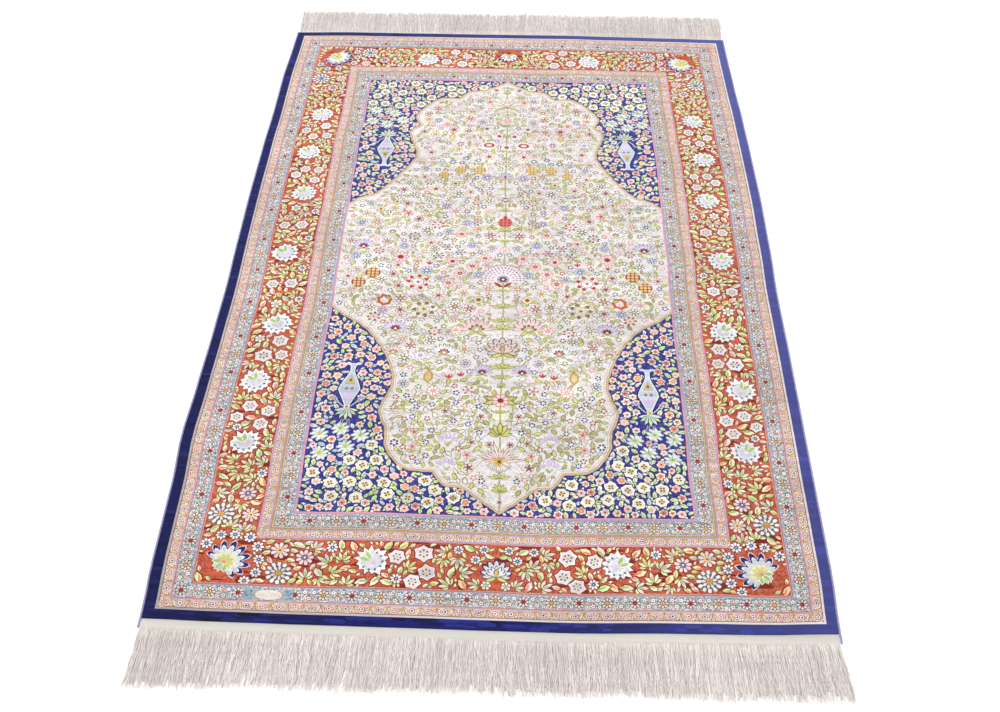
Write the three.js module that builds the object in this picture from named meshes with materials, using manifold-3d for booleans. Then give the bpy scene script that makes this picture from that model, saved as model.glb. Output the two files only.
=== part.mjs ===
// A knotted silk rug that lies flat, with flat-woven ends, overcast side edges and a fringe at both ends.
// All sizes are in millimetres. +Y runs along the rug, away from the near end, +X to the right and +Z up.
// The origin is on the floor, under the middle of the whole rug.

import * as THREE from "three";
import { mergeVertices } from "three/addons/utils/BufferGeometryUtils.js";
import Module from "manifold-3d";

// Driving dimensions of the knotted cloth
const HALF_WIDTH = 590;
const HALF_LENGTH = 926.4;
const PILE_TOP = 3.6;
const PILE_EDGE_ROUNDING = 0.6;
const FOUNDATION_THICKNESS = 1.5;
const PILE_SINK = 0.9;
const FLAT_WEAVE_NEAR = 17.5;
const FLAT_WEAVE_FAR = 6;
const FLAT_WEAVE_INSET = 1.2;

// Driving dimensions of the overcast side edges
const SELVEDGE_WIDTH = 4.4;
const SELVEDGE_HEIGHT = 3;
const SELVEDGE_ROUNDING = 0.9;

// Driving dimensions of the fringes
const STRIP_WIDTH = 5;
const STRIP_HEIGHT = 1.8;
const FRINGE_REACH = 1056;
const LOCK_COUNT = 140;
const LOCK_ROOT_WIDTH = 6;
const LOCK_TIP_WIDTH = 3.6;
const LOCK_TIP_HEIGHT = 1.1;
const LOCK_RAGGEDNESS = 13;
const LOCK_SPLAY = 9;
const LOCK_OWN_SWAY = 1.6;
const LOCK_STATIONS = [0, 0.55, 1];
const LONGEST_LOCK = 42;

// The locks drift to and fro together along the fringe, in two waves.
const DRIFT_WAVES = [
  { reach: 4, radians: 17 },
  { reach: 3, radians: 41 },
];

// Pieces that touch on the real rug keep this gap.
const GAP = 0.3;

// The sides bow and waver as the loom left them. Each row says how far the two edges lie from the middle line
// at one station along the rug.
const SIDE_ROWS = [
  { station: -926.4, left: 587.5, right: 587 },
  { station: -800, left: 593.5, right: 592.5 },
  { station: -650, left: 595.5, right: 593.5 },
  { station: -520, left: 602.5, right: 594.5 },
  { station: -400, left: 598.5, right: 595.5 },
  { station: -250, left: 595.5, right: 596.5 },
  { station: -110, left: 594, right: 596 },
  { station: 50, left: 596.5, right: 600.5 },
  { station: 220, left: 598, right: 602.5 },
  { station: 400, left: 597, right: 600.5 },
  { station: 550, left: 594, right: 598 },
  { station: 700, left: 594, right: 593 },
  { station: 850, left: 588.5, right: 590 },
  { station: 926.4, left: 586, right: 588.5 },
];

// The same for the two ends of the pile, by station across the rug.
const END_ROWS = [
  { station: -590, near: 925.5, far: 926 },
  { station: -450, near: 929, far: 931 },
  { station: -300, near: 931, far: 930 },
  { station: -150, near: 932.5, far: 929.5 },
  { station: 0, near: 934.5, far: 929.5 },
  { station: 150, near: 935.5, far: 930 },
  { station: 300, near: 932, far: 926.5 },
  { station: 450, near: 931, far: 923 },
  { station: 590, near: 926, far: 919 },
];

// Reads a column of a table at any station, with a smooth step from row to row.
function readColumn(rows, column, station) {
  const last = rows.length - 1;
  if (station <= rows[0].station) return rows[0][column];
  if (station >= rows[last].station) return rows[last][column];
  const next = rows.findIndex((row) => row.station >= station);
  const low = rows[next - 1];
  const high = rows[next];
  const share = (station - low.station) / (high.station - low.station);
  const eased = share * share * (3 - 2 * share);
  return low[column] + (high[column] - low[column]) * eased;
}

// Where a point of the plain rectangle lies on the real, slightly uneven cloth.
function onCloth(across, along) {
  const side = across < 0 ? "left" : "right";
  const end = along < 0 ? "near" : "far";
  const x = (across * readColumn(SIDE_ROWS, side, along)) / HALF_WIDTH;
  const y = (along * readColumn(END_ROWS, end, across)) / HALF_LENGTH;
  return new THREE.Vector2(x, y);
}

// How far the pile reaches towards the near end (direction -1) or the far end (direction 1).
function pileEnd(across, direction) {
  return direction * readColumn(END_ROWS, direction < 0 ? "near" : "far", across);
}

// A repeatable number from 0 to 1 for each counter value, so that no two locks are alike.
function chance(counter, salt) {
  const wave = Math.sin(counter * 12.9898 + salt * 78.233) * 43758.5453;
  return wave - Math.floor(wave);
}

function flatWeave(direction) {
  return direction < 0 ? FLAT_WEAVE_NEAR : FLAT_WEAVE_FAR;
}

function extrudedUp(points, height, base = 0) {
  const geometry = new THREE.ExtrudeGeometry(new THREE.Shape(points), {
    depth: height,
    bevelEnabled: false,
  });
  return geometry.translate(0, 0, base);
}

// As extrudedUp, with its upper and lower rims rounded off.
function roundedUp(points, height, rounding, base = 0) {
  const geometry = new THREE.ExtrudeGeometry(new THREE.Shape(points), {
    depth: height - 2 * rounding,
    bevelEnabled: true,
    bevelThickness: rounding,
    bevelSize: rounding,
    bevelOffset: -rounding,
    bevelSegments: 1,
  });
  return geometry.translate(0, 0, base + rounding);
}

const wasm = await Module();
wasm.setup();

function toSolid(geometry) {
  const bare = geometry.clone();
  bare.deleteAttribute("normal");
  bare.deleteAttribute("uv");
  const merged = mergeVertices(bare, 1e-4);
  const mesh = new wasm.Mesh({
    numProp: 3,
    vertProperties: Float32Array.from(merged.attributes.position.array),
    triVerts: Uint32Array.from(merged.index.array),
  });
  return new wasm.Manifold(mesh);
}

function toGeometry(solid) {
  const mesh = solid.getMesh();
  const geometry = new THREE.BufferGeometry();
  geometry.setAttribute("position", new THREE.BufferAttribute(mesh.vertProperties, 3));
  geometry.setIndex(new THREE.BufferAttribute(mesh.triVerts, 1));
  geometry.computeVertexNormals();
  return geometry;
}

// Evenly spaced stations from minus half a length to plus half a length.
function stations(half, steps) {
  return Array.from({ length: steps + 1 }, (_, step) => half * ((2 * step) / steps - 1));
}

const ACROSS_STATIONS = stations(HALF_WIDTH, 24);
const ALONG_STATIONS = stations(HALF_LENGTH, 44);

// The pile's edge, walked once round: near end, right side, far end, left side.
function pileOutline() {
  return [
    ...ACROSS_STATIONS.slice(0, -1).map((across) => onCloth(across, -HALF_LENGTH)),
    ...ALONG_STATIONS.slice(0, -1).map((along) => onCloth(HALF_WIDTH, along)),
    ...ACROSS_STATIONS.slice(0, -1).map((across) => onCloth(-across, HALF_LENGTH)),
    ...ALONG_STATIONS.slice(0, -1).map((along) => onCloth(-HALF_WIDTH, -along)),
  ];
}

// A band across one end of the rug, from one distance beyond the pile's edge to another.
function endBand(direction, from, to, inset) {
  const inner = [];
  const outer = [];
  ACROSS_STATIONS.forEach((across) => {
    const edge = onCloth(across, direction * HALF_LENGTH).x;
    const x = edge - Math.sign(edge) * Math.min(inset, Math.abs(edge));
    inner.push(new THREE.Vector2(x, pileEnd(across, direction) + direction * from));
    outer.push(new THREE.Vector2(x, pileEnd(across, direction) + direction * to));
  });
  return [...inner, ...outer.reverse()];
}

// The cloth itself: the thin foundation runs out past the pile at both ends as a flat weave, and the knotted
// pile stands on it. It is woven in one, so it is one solid.
function knottedCloth() {
  const outline = pileOutline();
  const foundation = toSolid(extrudedUp(outline, FOUNDATION_THICKNESS));
  const pileBase = FOUNDATION_THICKNESS - PILE_SINK;
  const pile = toSolid(roundedUp(outline, PILE_TOP - pileBase, PILE_EDGE_ROUNDING, pileBase));
  const overlap = 3;
  const ends = [-1, 1].map((direction) => {
    const band = endBand(direction, -overlap, flatWeave(direction), FLAT_WEAVE_INSET);
    return toSolid(extrudedUp(band, FOUNDATION_THICKNESS));
  });
  return toGeometry(foundation.add(pile).add(ends[0]).add(ends[1]));
}

// One side edge, wrapped round with thread: a round-shouldered cord as long as the cloth and its flat weave.
function selvedge(direction) {
  const nearReach = HALF_LENGTH + flatWeave(-1);
  const farReach = HALF_LENGTH + flatWeave(1);
  const inner = [];
  const outer = [];
  [-nearReach, ...ALONG_STATIONS, farReach].forEach((along) => {
    const edge = onCloth(direction * HALF_WIDTH, along);
    inner.push(new THREE.Vector2(edge.x + direction * GAP, edge.y));
    outer.push(new THREE.Vector2(edge.x + direction * (GAP + SELVEDGE_WIDTH), edge.y));
  });
  return roundedUp([...inner, ...outer.reverse()], SELVEDGE_HEIGHT, SELVEDGE_ROUNDING);
}

// One lock of loose warp ends, seen from above: its two sides from root to tip. It sways a little.
function lockSides(index, direction) {
  const salt = direction > 0 ? 1 : 2;
  const share = (index + 0.5) / LOCK_COUNT;
  const across = (2 * share - 1) * (HALF_WIDTH - FLAT_WEAVE_INSET - LOCK_ROOT_WIDTH / 2);
  const rootX = onCloth(across, direction * HALF_LENGTH).x;
  const rootY = pileEnd(across, direction) + direction * (flatWeave(direction) + GAP + STRIP_WIDTH);
  const raggedness = index === LONGEST_LOCK ? 0 : chance(index, salt + 4) ** 2;
  const tipY = direction * (FRINGE_REACH - LOCK_RAGGEDNESS * raggedness);
  const waves = DRIFT_WAVES.map((wave) => wave.reach * Math.sin(share * wave.radians + salt));
  const drift = waves.reduce((sum, reach) => sum + reach, LOCK_SPLAY * (2 * share - 1));
  const own = LOCK_OWN_SWAY * (chance(index, salt + 8) - 0.5);
  const sides = { left: [], right: [] };
  LOCK_STATIONS.forEach((t) => {
    const wander = (drift * t * (1 + t)) / 2 + own * t;
    const half = (LOCK_ROOT_WIDTH + (LOCK_TIP_WIDTH - LOCK_ROOT_WIDTH) * t * t) / 2;
    const y = rootY + (tipY - rootY) * t;
    sides.left.push(new THREE.Vector2(rootX + wander - half, y));
    sides.right.push(new THREE.Vector2(rootX + wander + half, y));
  });
  return sides;
}

// The fringe of one end is a comb: a narrow strip, parted from the flat weave by the usual gap, has the locks
// as its teeth. It lies level on the floor, and each lock thins towards its tip.
function fringe(direction) {
  const from = flatWeave(direction) + GAP;
  const strip = endBand(direction, from, from + STRIP_WIDTH, FLAT_WEAVE_INSET);
  const inner = strip.slice(0, ACROSS_STATIONS.length);
  const corners = [strip[ACROSS_STATIONS.length], strip[strip.length - 1]];
  const rootReach = HALF_LENGTH + from + 2 * STRIP_WIDTH;
  const teeth = [];
  for (let index = LOCK_COUNT - 1; index >= 0; index -= 1) {
    const sides = lockSides(index, direction);
    teeth.push(...sides.right, ...sides.left.reverse());
  }
  const geometry = extrudedUp([...inner, corners[0], ...teeth, corners[1]], STRIP_HEIGHT);
  const position = geometry.attributes.position;
  for (let index = 0; index < position.count; index += 1) {
    const share = (Math.abs(position.getY(index)) - rootReach) / (FRINGE_REACH - rootReach);
    if (position.getZ(index) > 0 && share > 0) {
      position.setZ(index, STRIP_HEIGHT + (LOCK_TIP_HEIGHT - STRIP_HEIGHT) * share);
    }
  }
  return geometry;
}

const silkPile = new THREE.MeshStandardMaterial({ color: 0x8a7f7c, roughness: 0.62, metalness: 0 });
const undyedSilk = new THREE.MeshStandardMaterial({ color: 0xe9e0d6, roughness: 0.7, metalness: 0 });
const selvedgeSilk = new THREE.MeshStandardMaterial({ color: 0xc9bfb6, roughness: 0.7, metalness: 0 });

function piece(name, geometry, material) {
  const mesh = new THREE.Mesh(geometry, material);
  mesh.name = name;
  return mesh;
}

const rug = new THREE.Group();
rug.add(piece("knotted_cloth", knottedCloth(), silkPile));
rug.add(piece("selvedge_left", selvedge(-1), selvedgeSilk.clone()));
rug.add(piece("selvedge_right", selvedge(1), selvedgeSilk.clone()));
rug.add(piece("fringe_near", fringe(-1), undyedSilk.clone()));
rug.add(piece("fringe_far", fringe(1), undyedSilk.clone()));

export default rug;
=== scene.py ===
# %% [markdown]
# # A knotted silk rug, lying flat
# This lesson dresses a plain CAD model of a small silk rug: a dense pile with borders and a
# flowered field, a woven foundation, wrapped side edges and a long fringe at both ends. The CAD
# model is loaded first and never changed, because it says how large the rug is. Every new piece
# is built in metres in the same frame: x across the rug, y along it, z up out of the pile.

# %% Load the frame
import math
import bpy
import numpy as np
from mathutils import Matrix, Vector
from mathutils.geometry import delaunay_2d_cdt, tessellate_polygon


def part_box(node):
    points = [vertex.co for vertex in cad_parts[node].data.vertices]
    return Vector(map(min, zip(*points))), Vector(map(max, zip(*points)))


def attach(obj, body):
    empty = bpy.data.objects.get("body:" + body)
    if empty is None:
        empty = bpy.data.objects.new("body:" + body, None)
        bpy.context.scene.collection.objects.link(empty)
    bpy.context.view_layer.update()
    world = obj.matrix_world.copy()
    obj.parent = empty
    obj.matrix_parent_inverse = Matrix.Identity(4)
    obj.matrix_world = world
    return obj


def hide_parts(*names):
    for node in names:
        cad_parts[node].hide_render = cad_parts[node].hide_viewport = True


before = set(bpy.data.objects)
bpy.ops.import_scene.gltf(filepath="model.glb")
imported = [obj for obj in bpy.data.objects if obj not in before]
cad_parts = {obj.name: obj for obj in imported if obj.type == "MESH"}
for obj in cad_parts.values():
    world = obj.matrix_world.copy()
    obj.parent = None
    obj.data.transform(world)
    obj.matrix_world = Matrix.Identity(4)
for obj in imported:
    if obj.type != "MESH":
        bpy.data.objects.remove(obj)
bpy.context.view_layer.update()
scene = bpy.context.scene

# %% [markdown]
# ## The camera
# The photograph was taken by someone who stands at the near end and looks down at the rug. A
# camera object needs a place, a direction and a lens. The direction is built here from three
# angles (turn, tilt down and roll), because a matrix made of the camera's own right, up and
# backward axes leaves no doubt about the order of the turns.

# %% Camera
CAMERA_PLACE = Vector((0.03835, -1.93933, 1.73584))
TURN, TILT_DOWN, ROLL = -0.0211, 0.813, 0.0041  # radians
SENSOR_WIDTH, LENS = 36, 41.82  # millimetres
level_right = Vector((math.cos(TURN), -math.sin(TURN), 0))
forward = Vector((
    math.sin(TURN) * math.cos(TILT_DOWN),
    math.cos(TURN) * math.cos(TILT_DOWN),
    -math.sin(TILT_DOWN),
))
level_up = level_right.cross(forward)
right = level_right * math.cos(ROLL) + level_up * math.sin(ROLL)
up = level_up * math.cos(ROLL) - level_right * math.sin(ROLL)
camera_data = bpy.data.cameras.new("standing_view")
camera_data.sensor_width = SENSOR_WIDTH
camera_data.lens = LENS
camera = bpy.data.objects.new("standing_view", camera_data)
scene.collection.objects.link(camera)
camera.matrix_world = Matrix.Translation(CAMERA_PLACE) @ Matrix((right, up, -forward)).transposed().to_4x4()
scene.camera = camera
print("camera", round(camera_data.lens, 1), "mm, at", [round(c, 2) for c in CAMERA_PLACE])

# %% [markdown]
# ## The outline, read from the CAD
# A hand-knotted rug is never a true rectangle. The pattern below is drawn in plain millimetres
# on a perfect rectangle, u across and v along, and one function then lays every point on the
# uneven cloth. The unevenness is read from the rim of the CAD solid's own pile, so the drawing
# can't disagree with the frame.

# %% Read the rim
HALF_WIDTH, HALF_LENGTH = 590.0, 926.4
PILE_TOP, FOUNDATION_TOP = 3.6, 1.5
cloth_points = np.array([v.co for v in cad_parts["knotted_cloth"].data.vertices]) * 1000
rim = cloth_points[np.abs(cloth_points[:, 2] - 3.0) < 0.2]
rim = rim[(np.abs(rim[:, 0]) > 580) | (np.abs(rim[:, 1]) > 915)]
corners = {
    (sx, sy): rim[np.argmax(rim[:, 0] * sx + rim[:, 1] * sy)] for sx in (-1, 1) for sy in (-1, 1)
}


def edge_profile(side, axis):
    """How far the rim lies out along one side (axis 0) or one end (axis 1), as two columns."""
    other = 1 - axis
    low = corners[(side, -1) if axis == 0 else (-1, side)]
    high = corners[(side, 1) if axis == 0 else (1, side)]
    nominal = HALF_LENGTH if axis == 0 else HALF_WIDTH
    near_edge = rim[rim[:, axis] * side > (575 if axis == 0 else 910)]
    near_edge = near_edge[np.argsort(near_edge[:, other])]
    station = np.interp(near_edge[:, other], [low[other], 0, high[other]], [-nominal, 0, nominal])
    return station, np.abs(near_edge[:, axis])


SIDES = {side: edge_profile(side, 0) for side in (-1, 1)}
ENDS = {side: edge_profile(side, 1) for side in (-1, 1)}
print("rim points", len(rim))

# %% [markdown]
# ## From the drawing to the cloth
# Each point keeps its share of the way out to the rim, so a straight stripe bends with the edge
# that it runs beside. Inside, a slow wander of about a millimetre is added, because no knotted
# line is quite straight. A warp of the finished mesh would do the same, but moving the points
# before the mesh is made keeps every piece where it belongs.

# %% Lay the drawing on the cloth


def lean(v):
    """The middle of the drawing wanders off the cloth's middle by a few millimetres."""
    return np.interp(v, [-HALF_LENGTH, -600, 0, 700, HALF_LENGTH], [10.5, 10, 6, 1, 0])


def on_cloth(points):
    """Points of the drawing (n, 2) in millimetres, laid on the uneven cloth, in metres."""
    u, v = np.asarray(points, float).T
    fade = np.clip(1 - np.abs(u) / HALF_WIDTH, 0, 1)
    calm = np.clip(fade * 6, 0, 1) * np.clip((1 - np.abs(v) / HALF_LENGTH) * 9, 0, 1)
    wander_u = 0.9 * np.sin(v / 61 + u / 190) + 0.7 * np.sin(v / 27 + 1.3)
    wander_v = 1.1 * np.sin(u / 74 + v / 230 + 0.8) + 0.6 * np.sin(u / 33 + 2.1)
    u = u + lean(v) * fade + wander_u * calm
    v = v + wander_v * calm
    inside = np.clip(v, -HALF_LENGTH, HALF_LENGTH)
    across = np.where(u < 0, np.interp(inside, *SIDES[-1]), np.interp(inside, *SIDES[1])) / HALF_WIDTH
    column = np.clip(u, -HALF_WIDTH, HALF_WIDTH)
    along = np.where(v < 0, np.interp(column, *ENDS[-1]), np.interp(column, *ENDS[1])) / HALF_LENGTH
    y = inside * along + (v - inside)
    return np.column_stack((u * across, y)) / 1000


middle_right, middle_left = on_cloth([(HALF_WIDTH, 0), (-HALF_WIDTH, 0)])
print("width at the middle", round(float(middle_right[0] - middle_left[0]), 4), "m")

# %% [markdown]
# ## The dyes
# Silk for such a rug is dyed in a few dozen colours. They are named here once, in the ordinary
# 0 to 255 scale, and turned into the linear values that Blender's shaders work in.

# %% Dyes
DYES = {
    "edge blue": (26, 30, 112), "night blue": (14, 16, 74), "edge light": (42, 48, 138),
    "edge dark": (22, 25, 96),
    "dark rust": (128, 42, 28), "light rust": (222, 104, 60), "cream tint": (240, 236, 222),
    "pink tint": (242, 228, 226), "green tint": (232, 236, 220), "vase blue": (208, 219, 238),
    "cream line": (236, 226, 218), "brown line": (138, 100, 88),
    "guard salmon": (238, 196, 182), "lilac": (186, 166, 196),
    "pink": (236, 160, 165), "guard teal": (172, 184, 182), "dark teal": (84, 112, 116),
    "salmon line": (236, 150, 126), "rust": (192, 78, 45), "gold brown": (190, 152, 92),
    "pale line": (238, 228, 216), "spandrel blue": (46, 47, 146), "ivory": (240, 236, 237),
    "gold": (236, 206, 144), "gold yellow": (238, 192, 82), "olive": (132, 122, 66),
    "pale olive": (190, 186, 126), "white": (247, 244, 242), "pinkish": (245, 221, 219),
    "pale lilac": (224, 206, 238), "sky": (116, 160, 212),
    "dark blue": (40, 40, 122), "teal blue": (44, 98, 144), "wine": (150, 36, 62),
    "red": (204, 62, 54), "brown red": (164, 74, 58), "dark red": (128, 36, 26),
    "orange": (236, 116, 60), "salmon": (250, 172, 150), "cream": (249, 240, 206),
    "leaf cream": (244, 228, 174), "leaf yellow": (212, 216, 132), "leaf green": (176, 202, 122),
    "pale green": (216, 238, 170), "leaf edge": (124, 102, 44), "stem pink": (244, 150, 116),
    "stem olive": (178, 168, 104), "brown": (136, 94, 66), "vine": (92, 98, 98),
    # The pale blue below is no dye of the rug: it is painted sheen, mixed into the blue edge.
    "dusty pink": (220, 140, 132), "painted sheen blue": (106, 112, 186), "ring purple": (122, 104, 140),
    "soft olive": (198, 192, 136), "soft pink": (240, 212, 206), "soft lilac": (222, 212, 232),
    "soft blue": (206, 220, 236), "soft brown": (172, 144, 124), "pale pink": (246, 200, 194),
    "line pink": (206, 150, 150),
    "flat weave": (236, 232, 222), "side thread": (158, 156, 200), "gold line": (218, 192, 144),
    "warp ends": (250, 242, 238),
}


def linear(dye):
    """A named dye as linear light."""
    rgb = np.array(DYES[dye], float) / 255
    return np.where(rgb <= 0.04045, rgb / 12.92, ((rgb + 0.055) / 1.055) ** 2.4)


print(len(DYES), "dyes")


# %% [markdown]
# ## Knots as flat shapes
# The pattern isn't an image: it is many thousands of small flat shapes, laid one over another as
# a painter would, and later cut into one skin of triangles. A design drawn from shapes stays
# sharp at any distance, and each motif can be changed on its own. Every shape keeps its own dye,
# a little lighter or darker than its neighbour's, as hand-dyed silk is. A small `pen` remembers
# the zone that is drawn, the side of the rug, and whether the shape is mirrored.

# %% Lay shapes
luck = np.random.default_rng(41)
zones = {zone: [] for zone in ("edge", "outer", "border", "inner", "field")}
pen = {"zone": "edge", "place": None, "mirror": 1}


def lay(points, dye, spread=0.07, knot=0.5, fleck=0.0):
    """Lays one flat shape, with its corners on a grid of half knots."""
    points = np.asarray(points, float)
    if pen["place"]:
        points = pen["place"](points)
    points = points * (pen["mirror"], 1)
    if knot:
        points = np.round(points / knot) * knot
        points = points[np.any(points != np.roll(points, 1, 0), 1)]
    if len(points) < 3:
        return
    x, y = points.T
    if np.sum(x * np.roll(y, -1) - np.roll(x, -1) * y) < 0:
        points = points[::-1]
    shade = (*linear(dye) * (1 + luck.normal(0, spread)), fleck)
    zones[pen["zone"]].append((points, points.min(0), points.max(0), shade))

# %% [markdown]
# ## Bands and batches of yarn
# From the edge inwards the rug is a set of rectangles, one inside the other, and each covers the
# middle of the one before. Long straight runs are divided, so that they can follow the uneven
# edge. In the blue and the rust ground, low patches show where another batch of yarn was knotted
# in. A table of distances is easier to change than separate strips, and leaves no seams.

# %% Bands


def stepped(outline, step=20.0):
    """The outline with its long straight runs divided, so that it can follow the uneven edge."""
    outline = np.asarray(outline, float)
    points = []
    for start, end in zip(outline, np.roll(outline, -1, 0)):
        count = max(1, int(round(np.linalg.norm(end - start) / step)))
        points += [start + (end - start) * k / count for k in range(count)]
    return np.array(points)


def ring_of(distance):
    """A rectangle at one distance in from the pile's edge."""
    a, b = HALF_WIDTH - distance, HALF_LENGTH - distance
    return [(-a, -b), (a, -b), (a, b), (-a, b)]


ZONE_START = {"edge": 0, "outer": 22.5, "border": 75, "inner": 170, "field": 231}
BANDS = [  # zone, distance in from the edge, dye, how flecked
    ("edge", 0, "edge blue", 0), ("edge", 0.7, "edge blue", 0), ("edge", 18.5, "cream line", 0.1),
    ("outer", 22.5, "brown line", 0), ("outer", 24, "guard salmon", 0.6), ("outer", 39, "lilac", 0),
    ("outer", 40.7, "pink", 0), ("outer", 42, "brown line", 0), ("outer", 43, "guard teal", 1),
    ("outer", 70, "lilac", 0), ("outer", 72, "brown line", 0), ("outer", 73, "salmon line", 0.2),
    ("border", 75, "rust", 0.16), ("inner", 170, "pink", 0), ("inner", 171.5, "lilac", 0),
    ("inner", 174, "guard salmon", 0.6), ("inner", 188.5, "lilac", 0), ("inner", 191, "gold brown", 0.2),
    ("inner", 195, "pale line", 0), ("inner", 196, "brown line", 0), ("inner", 197, "guard teal", 1),
    ("inner", 225, "lilac", 0), ("inner", 228.4, "pink", 0), ("field", 231, "spandrel blue", 0.08),
]


def batches(near, far, count, dyes):
    """Low wide patches along the rows, where another batch of yarn was knotted in."""
    for _ in range(count):
        inwards = luck.uniform(near, far)
        along = luck.uniform(-1, 1)
        x, y = HALF_WIDTH - inwards, along * (HALF_LENGTH - inwards)
        if luck.random() < 0.4:
            x, y = along * (HALF_WIDTH - inwards), HALF_LENGTH - inwards
        x, y = luck.choice((-1, 1)) * x, luck.choice((-1, 1)) * y
        w, h = luck.uniform(8, 30), luck.uniform(1.8, 5.2)
        patch = [
            (x - w, y), (x - w * 0.6, y - h), (x + w * 0.7, y - h * 0.8),
            (x + w, y), (x + w * 0.5, y + h), (x - w * 0.7, y + h),
        ]
        lay(patch, dyes[luck.integers(len(dyes))])


for zone, distance, dye, fleck in BANDS:
    pen["zone"] = zone
    lay(stepped(ring_of(distance)), dye, 0, 0, fleck)
    if distance == 0.7:
        batches(2, 17, 460, ("night blue", "edge light", "edge dark"))
    if dye == "rust":
        batches(ZONE_START["border"], ZONE_START["inner"], 820, ("dark rust", "light rust"))
print(len(BANDS), "bands in", len(zones), "zones")

# %% [markdown]
# ## A small alphabet of motifs
# Knotted flowers are built from very few strokes: a round spot, a blossom with lobes, a ring of
# petals, a leaf, a fan of petals and a thin line. Each is a short list of points, in the
# drawing's millimetres, and a small motif gets fewer points than a large one.

# %% Motif alphabet


def spot(x, y, reach, dye, sides=0):
    """A small round spot."""
    sides = sides or (4 if reach < 1.8 else 6 if reach < 4 else 9)
    a = (np.arange(sides) + 0.5) * 2 * math.pi / sides
    lay(np.column_stack((x + reach * np.cos(a), y + reach * np.sin(a))), dye)


def bloom(x, y, reach, lobes, dye, notch=0.3, turn=0.0):
    """A blossom with rounded lobes."""
    per = 2 if reach < 7 else 3 if reach < 14 else 4
    a = np.arange(lobes * per) * 2 * math.pi / (lobes * per)
    r = reach * (1 - notch * (1 - np.abs(np.cos(lobes * a / 2)) ** 0.8))
    lay(np.column_stack((x + r * np.cos(a + turn), y + r * np.sin(a + turn))), dye)


def ragged(x, y, reach, points, layers, notch=0.35, turn=0.0):
    """An uneven star in several sizes, one dye over the other."""
    a = turn + np.arange(2 * points) * math.pi / points
    uneven = np.where(np.arange(2 * points) % 2, 1 - notch, 1.0) * luck.uniform(0.86, 1.1, 2 * points)
    star = np.column_stack((uneven * np.cos(a), uneven * np.sin(a)))
    for grow, dye in layers:
        lay(star * reach * grow + (x, y), dye)


SLIM_PETAL = ((0, 0), (0.8, -1), (1, 0), (0.8, 1))
ROUND_PETAL = ((0, -0.4), (0.62, -1), (0.97, -0.5), (0.97, 0.5), (0.62, 1), (0, 0.4))


def petals(x, y, reach, count, dye, inner=0.3, width=0.8, turn=0.0):
    """A ring of separate petals."""
    shape = np.array(SLIM_PETAL if reach < 10 else ROUND_PETAL)
    radii = reach * (inner + (1 - inner) * shape[:, 0])
    for k in range(count):
        a = turn + (k + shape[:, 1] * width / 2) * 2 * math.pi / count
        lay(np.column_stack((x + radii * np.cos(a), y + radii * np.sin(a))), dye)

# %% [markdown]
# ## Leaves, fans and lines
# The other strokes have a heading, so their points are written along one axis and then turned. A
# leaf has four or six points and may bend. An outlined leaf is a dark leaf with a paler one laid
# over it, which costs less than a separate line. A thin line is a strip with two sides.

# %% Leaves, fans and lines


def turned(points, x, y, heading):
    """Local points, turned by an angle in degrees and moved to x, y."""
    c, s = math.cos(math.radians(heading)), math.sin(math.radians(heading))
    px, py = np.asarray(points, float).T
    return np.column_stack((x + px * c - py * s, y + px * s + py * c))


LEAF = np.array([(0, 0), (0.3, 0.46), (0.68, 0.42), (1, 0), (0.64, -0.4), (0.26, -0.36)])
SMALL_LEAF = np.array([(0, 0), (0.5, 0.52), (1, 0), (0.45, -0.5)])


def leaf(x, y, length, width, heading, dye, bend=0.0):
    """A pointed leaf that starts at x, y."""
    shape = LEAF if length > 9.5 else SMALL_LEAF
    points = shape * (length, width)
    points[:, 1] += bend * length * shape[:, 0] ** 2
    lay(turned(points, x, y, heading), dye)


def edged_leaf(x, y, length, width, heading, dye, edge, bend=0.0, inner=0.68):
    """A leaf with a thin outline."""
    leaf(x, y, length, width, heading, edge, bend)
    start = turned([(0.1 * length, 0)], x, y, heading)[0]
    leaf(start[0], start[1], length * 0.8, width * inner, heading, dye, bend)


def fan(x, y, reach, spread, count, heading, dye, notch=0.25, tall=0.25):
    """A fan of petals that opens from x, y."""
    per = 2 if reach < 12 else 4
    a = np.linspace(-spread, spread, count * per + 1)
    lobe = 1 - notch * (1 - np.abs(np.sin(np.arange(count * per + 1) * math.pi / per)))
    r = reach * lobe * (1 - tall * (np.abs(a) / spread) ** 2)
    points = np.column_stack((r * np.cos(np.radians(a)), r * np.sin(np.radians(a))))
    lay(turned(np.vstack(([(-0.06 * reach, 0)], points)), x, y, heading), dye)


def curve(points, steps=5):
    """A smooth line through a few points."""
    points = np.asarray(points, float)
    points = np.vstack((2 * points[0] - points[1], points, 2 * points[-1] - points[-2]))
    line = []
    for a, b, c, d in zip(points, points[1:], points[2:], points[3:]):
        for t in np.arange(steps) / steps:
            line.append(0.5 * (2 * b + (c - a) * t + (2 * a - 5 * b + 4 * c - d) * t * t
                               + (3 * b - a - 3 * c + d) * t ** 3))
    return np.array(line + [points[-2]])


def stroke(points, width, dye, taper=0.4):
    """A thin line of yarn along some points."""
    points = np.asarray(points, float)
    along = np.gradient(points, axis=0)
    normal = np.column_stack((-along[:, 1], along[:, 0])) / (np.linalg.norm(along, axis=1)[:, None] + 1e-9)
    s = np.linspace(-1, 1, len(points))
    half = (width / 2 * (1 - (1 - taper) * np.abs(s) ** 3))[:, None]
    lay(np.vstack((points + normal * half, (points - normal * half)[::-1])), dye, knot=0)


# %% [markdown]
# ## Flowers of this rug
# The same dozen flowers come back all over the rug in other colours: daisies, six-cornered
# blossoms, lotus palmettes, green leaf sprays and small field flowers. Most have a dark outline,
# because the weaver sets one row of dark knots round each light motif.

# %% Flowers


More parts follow.
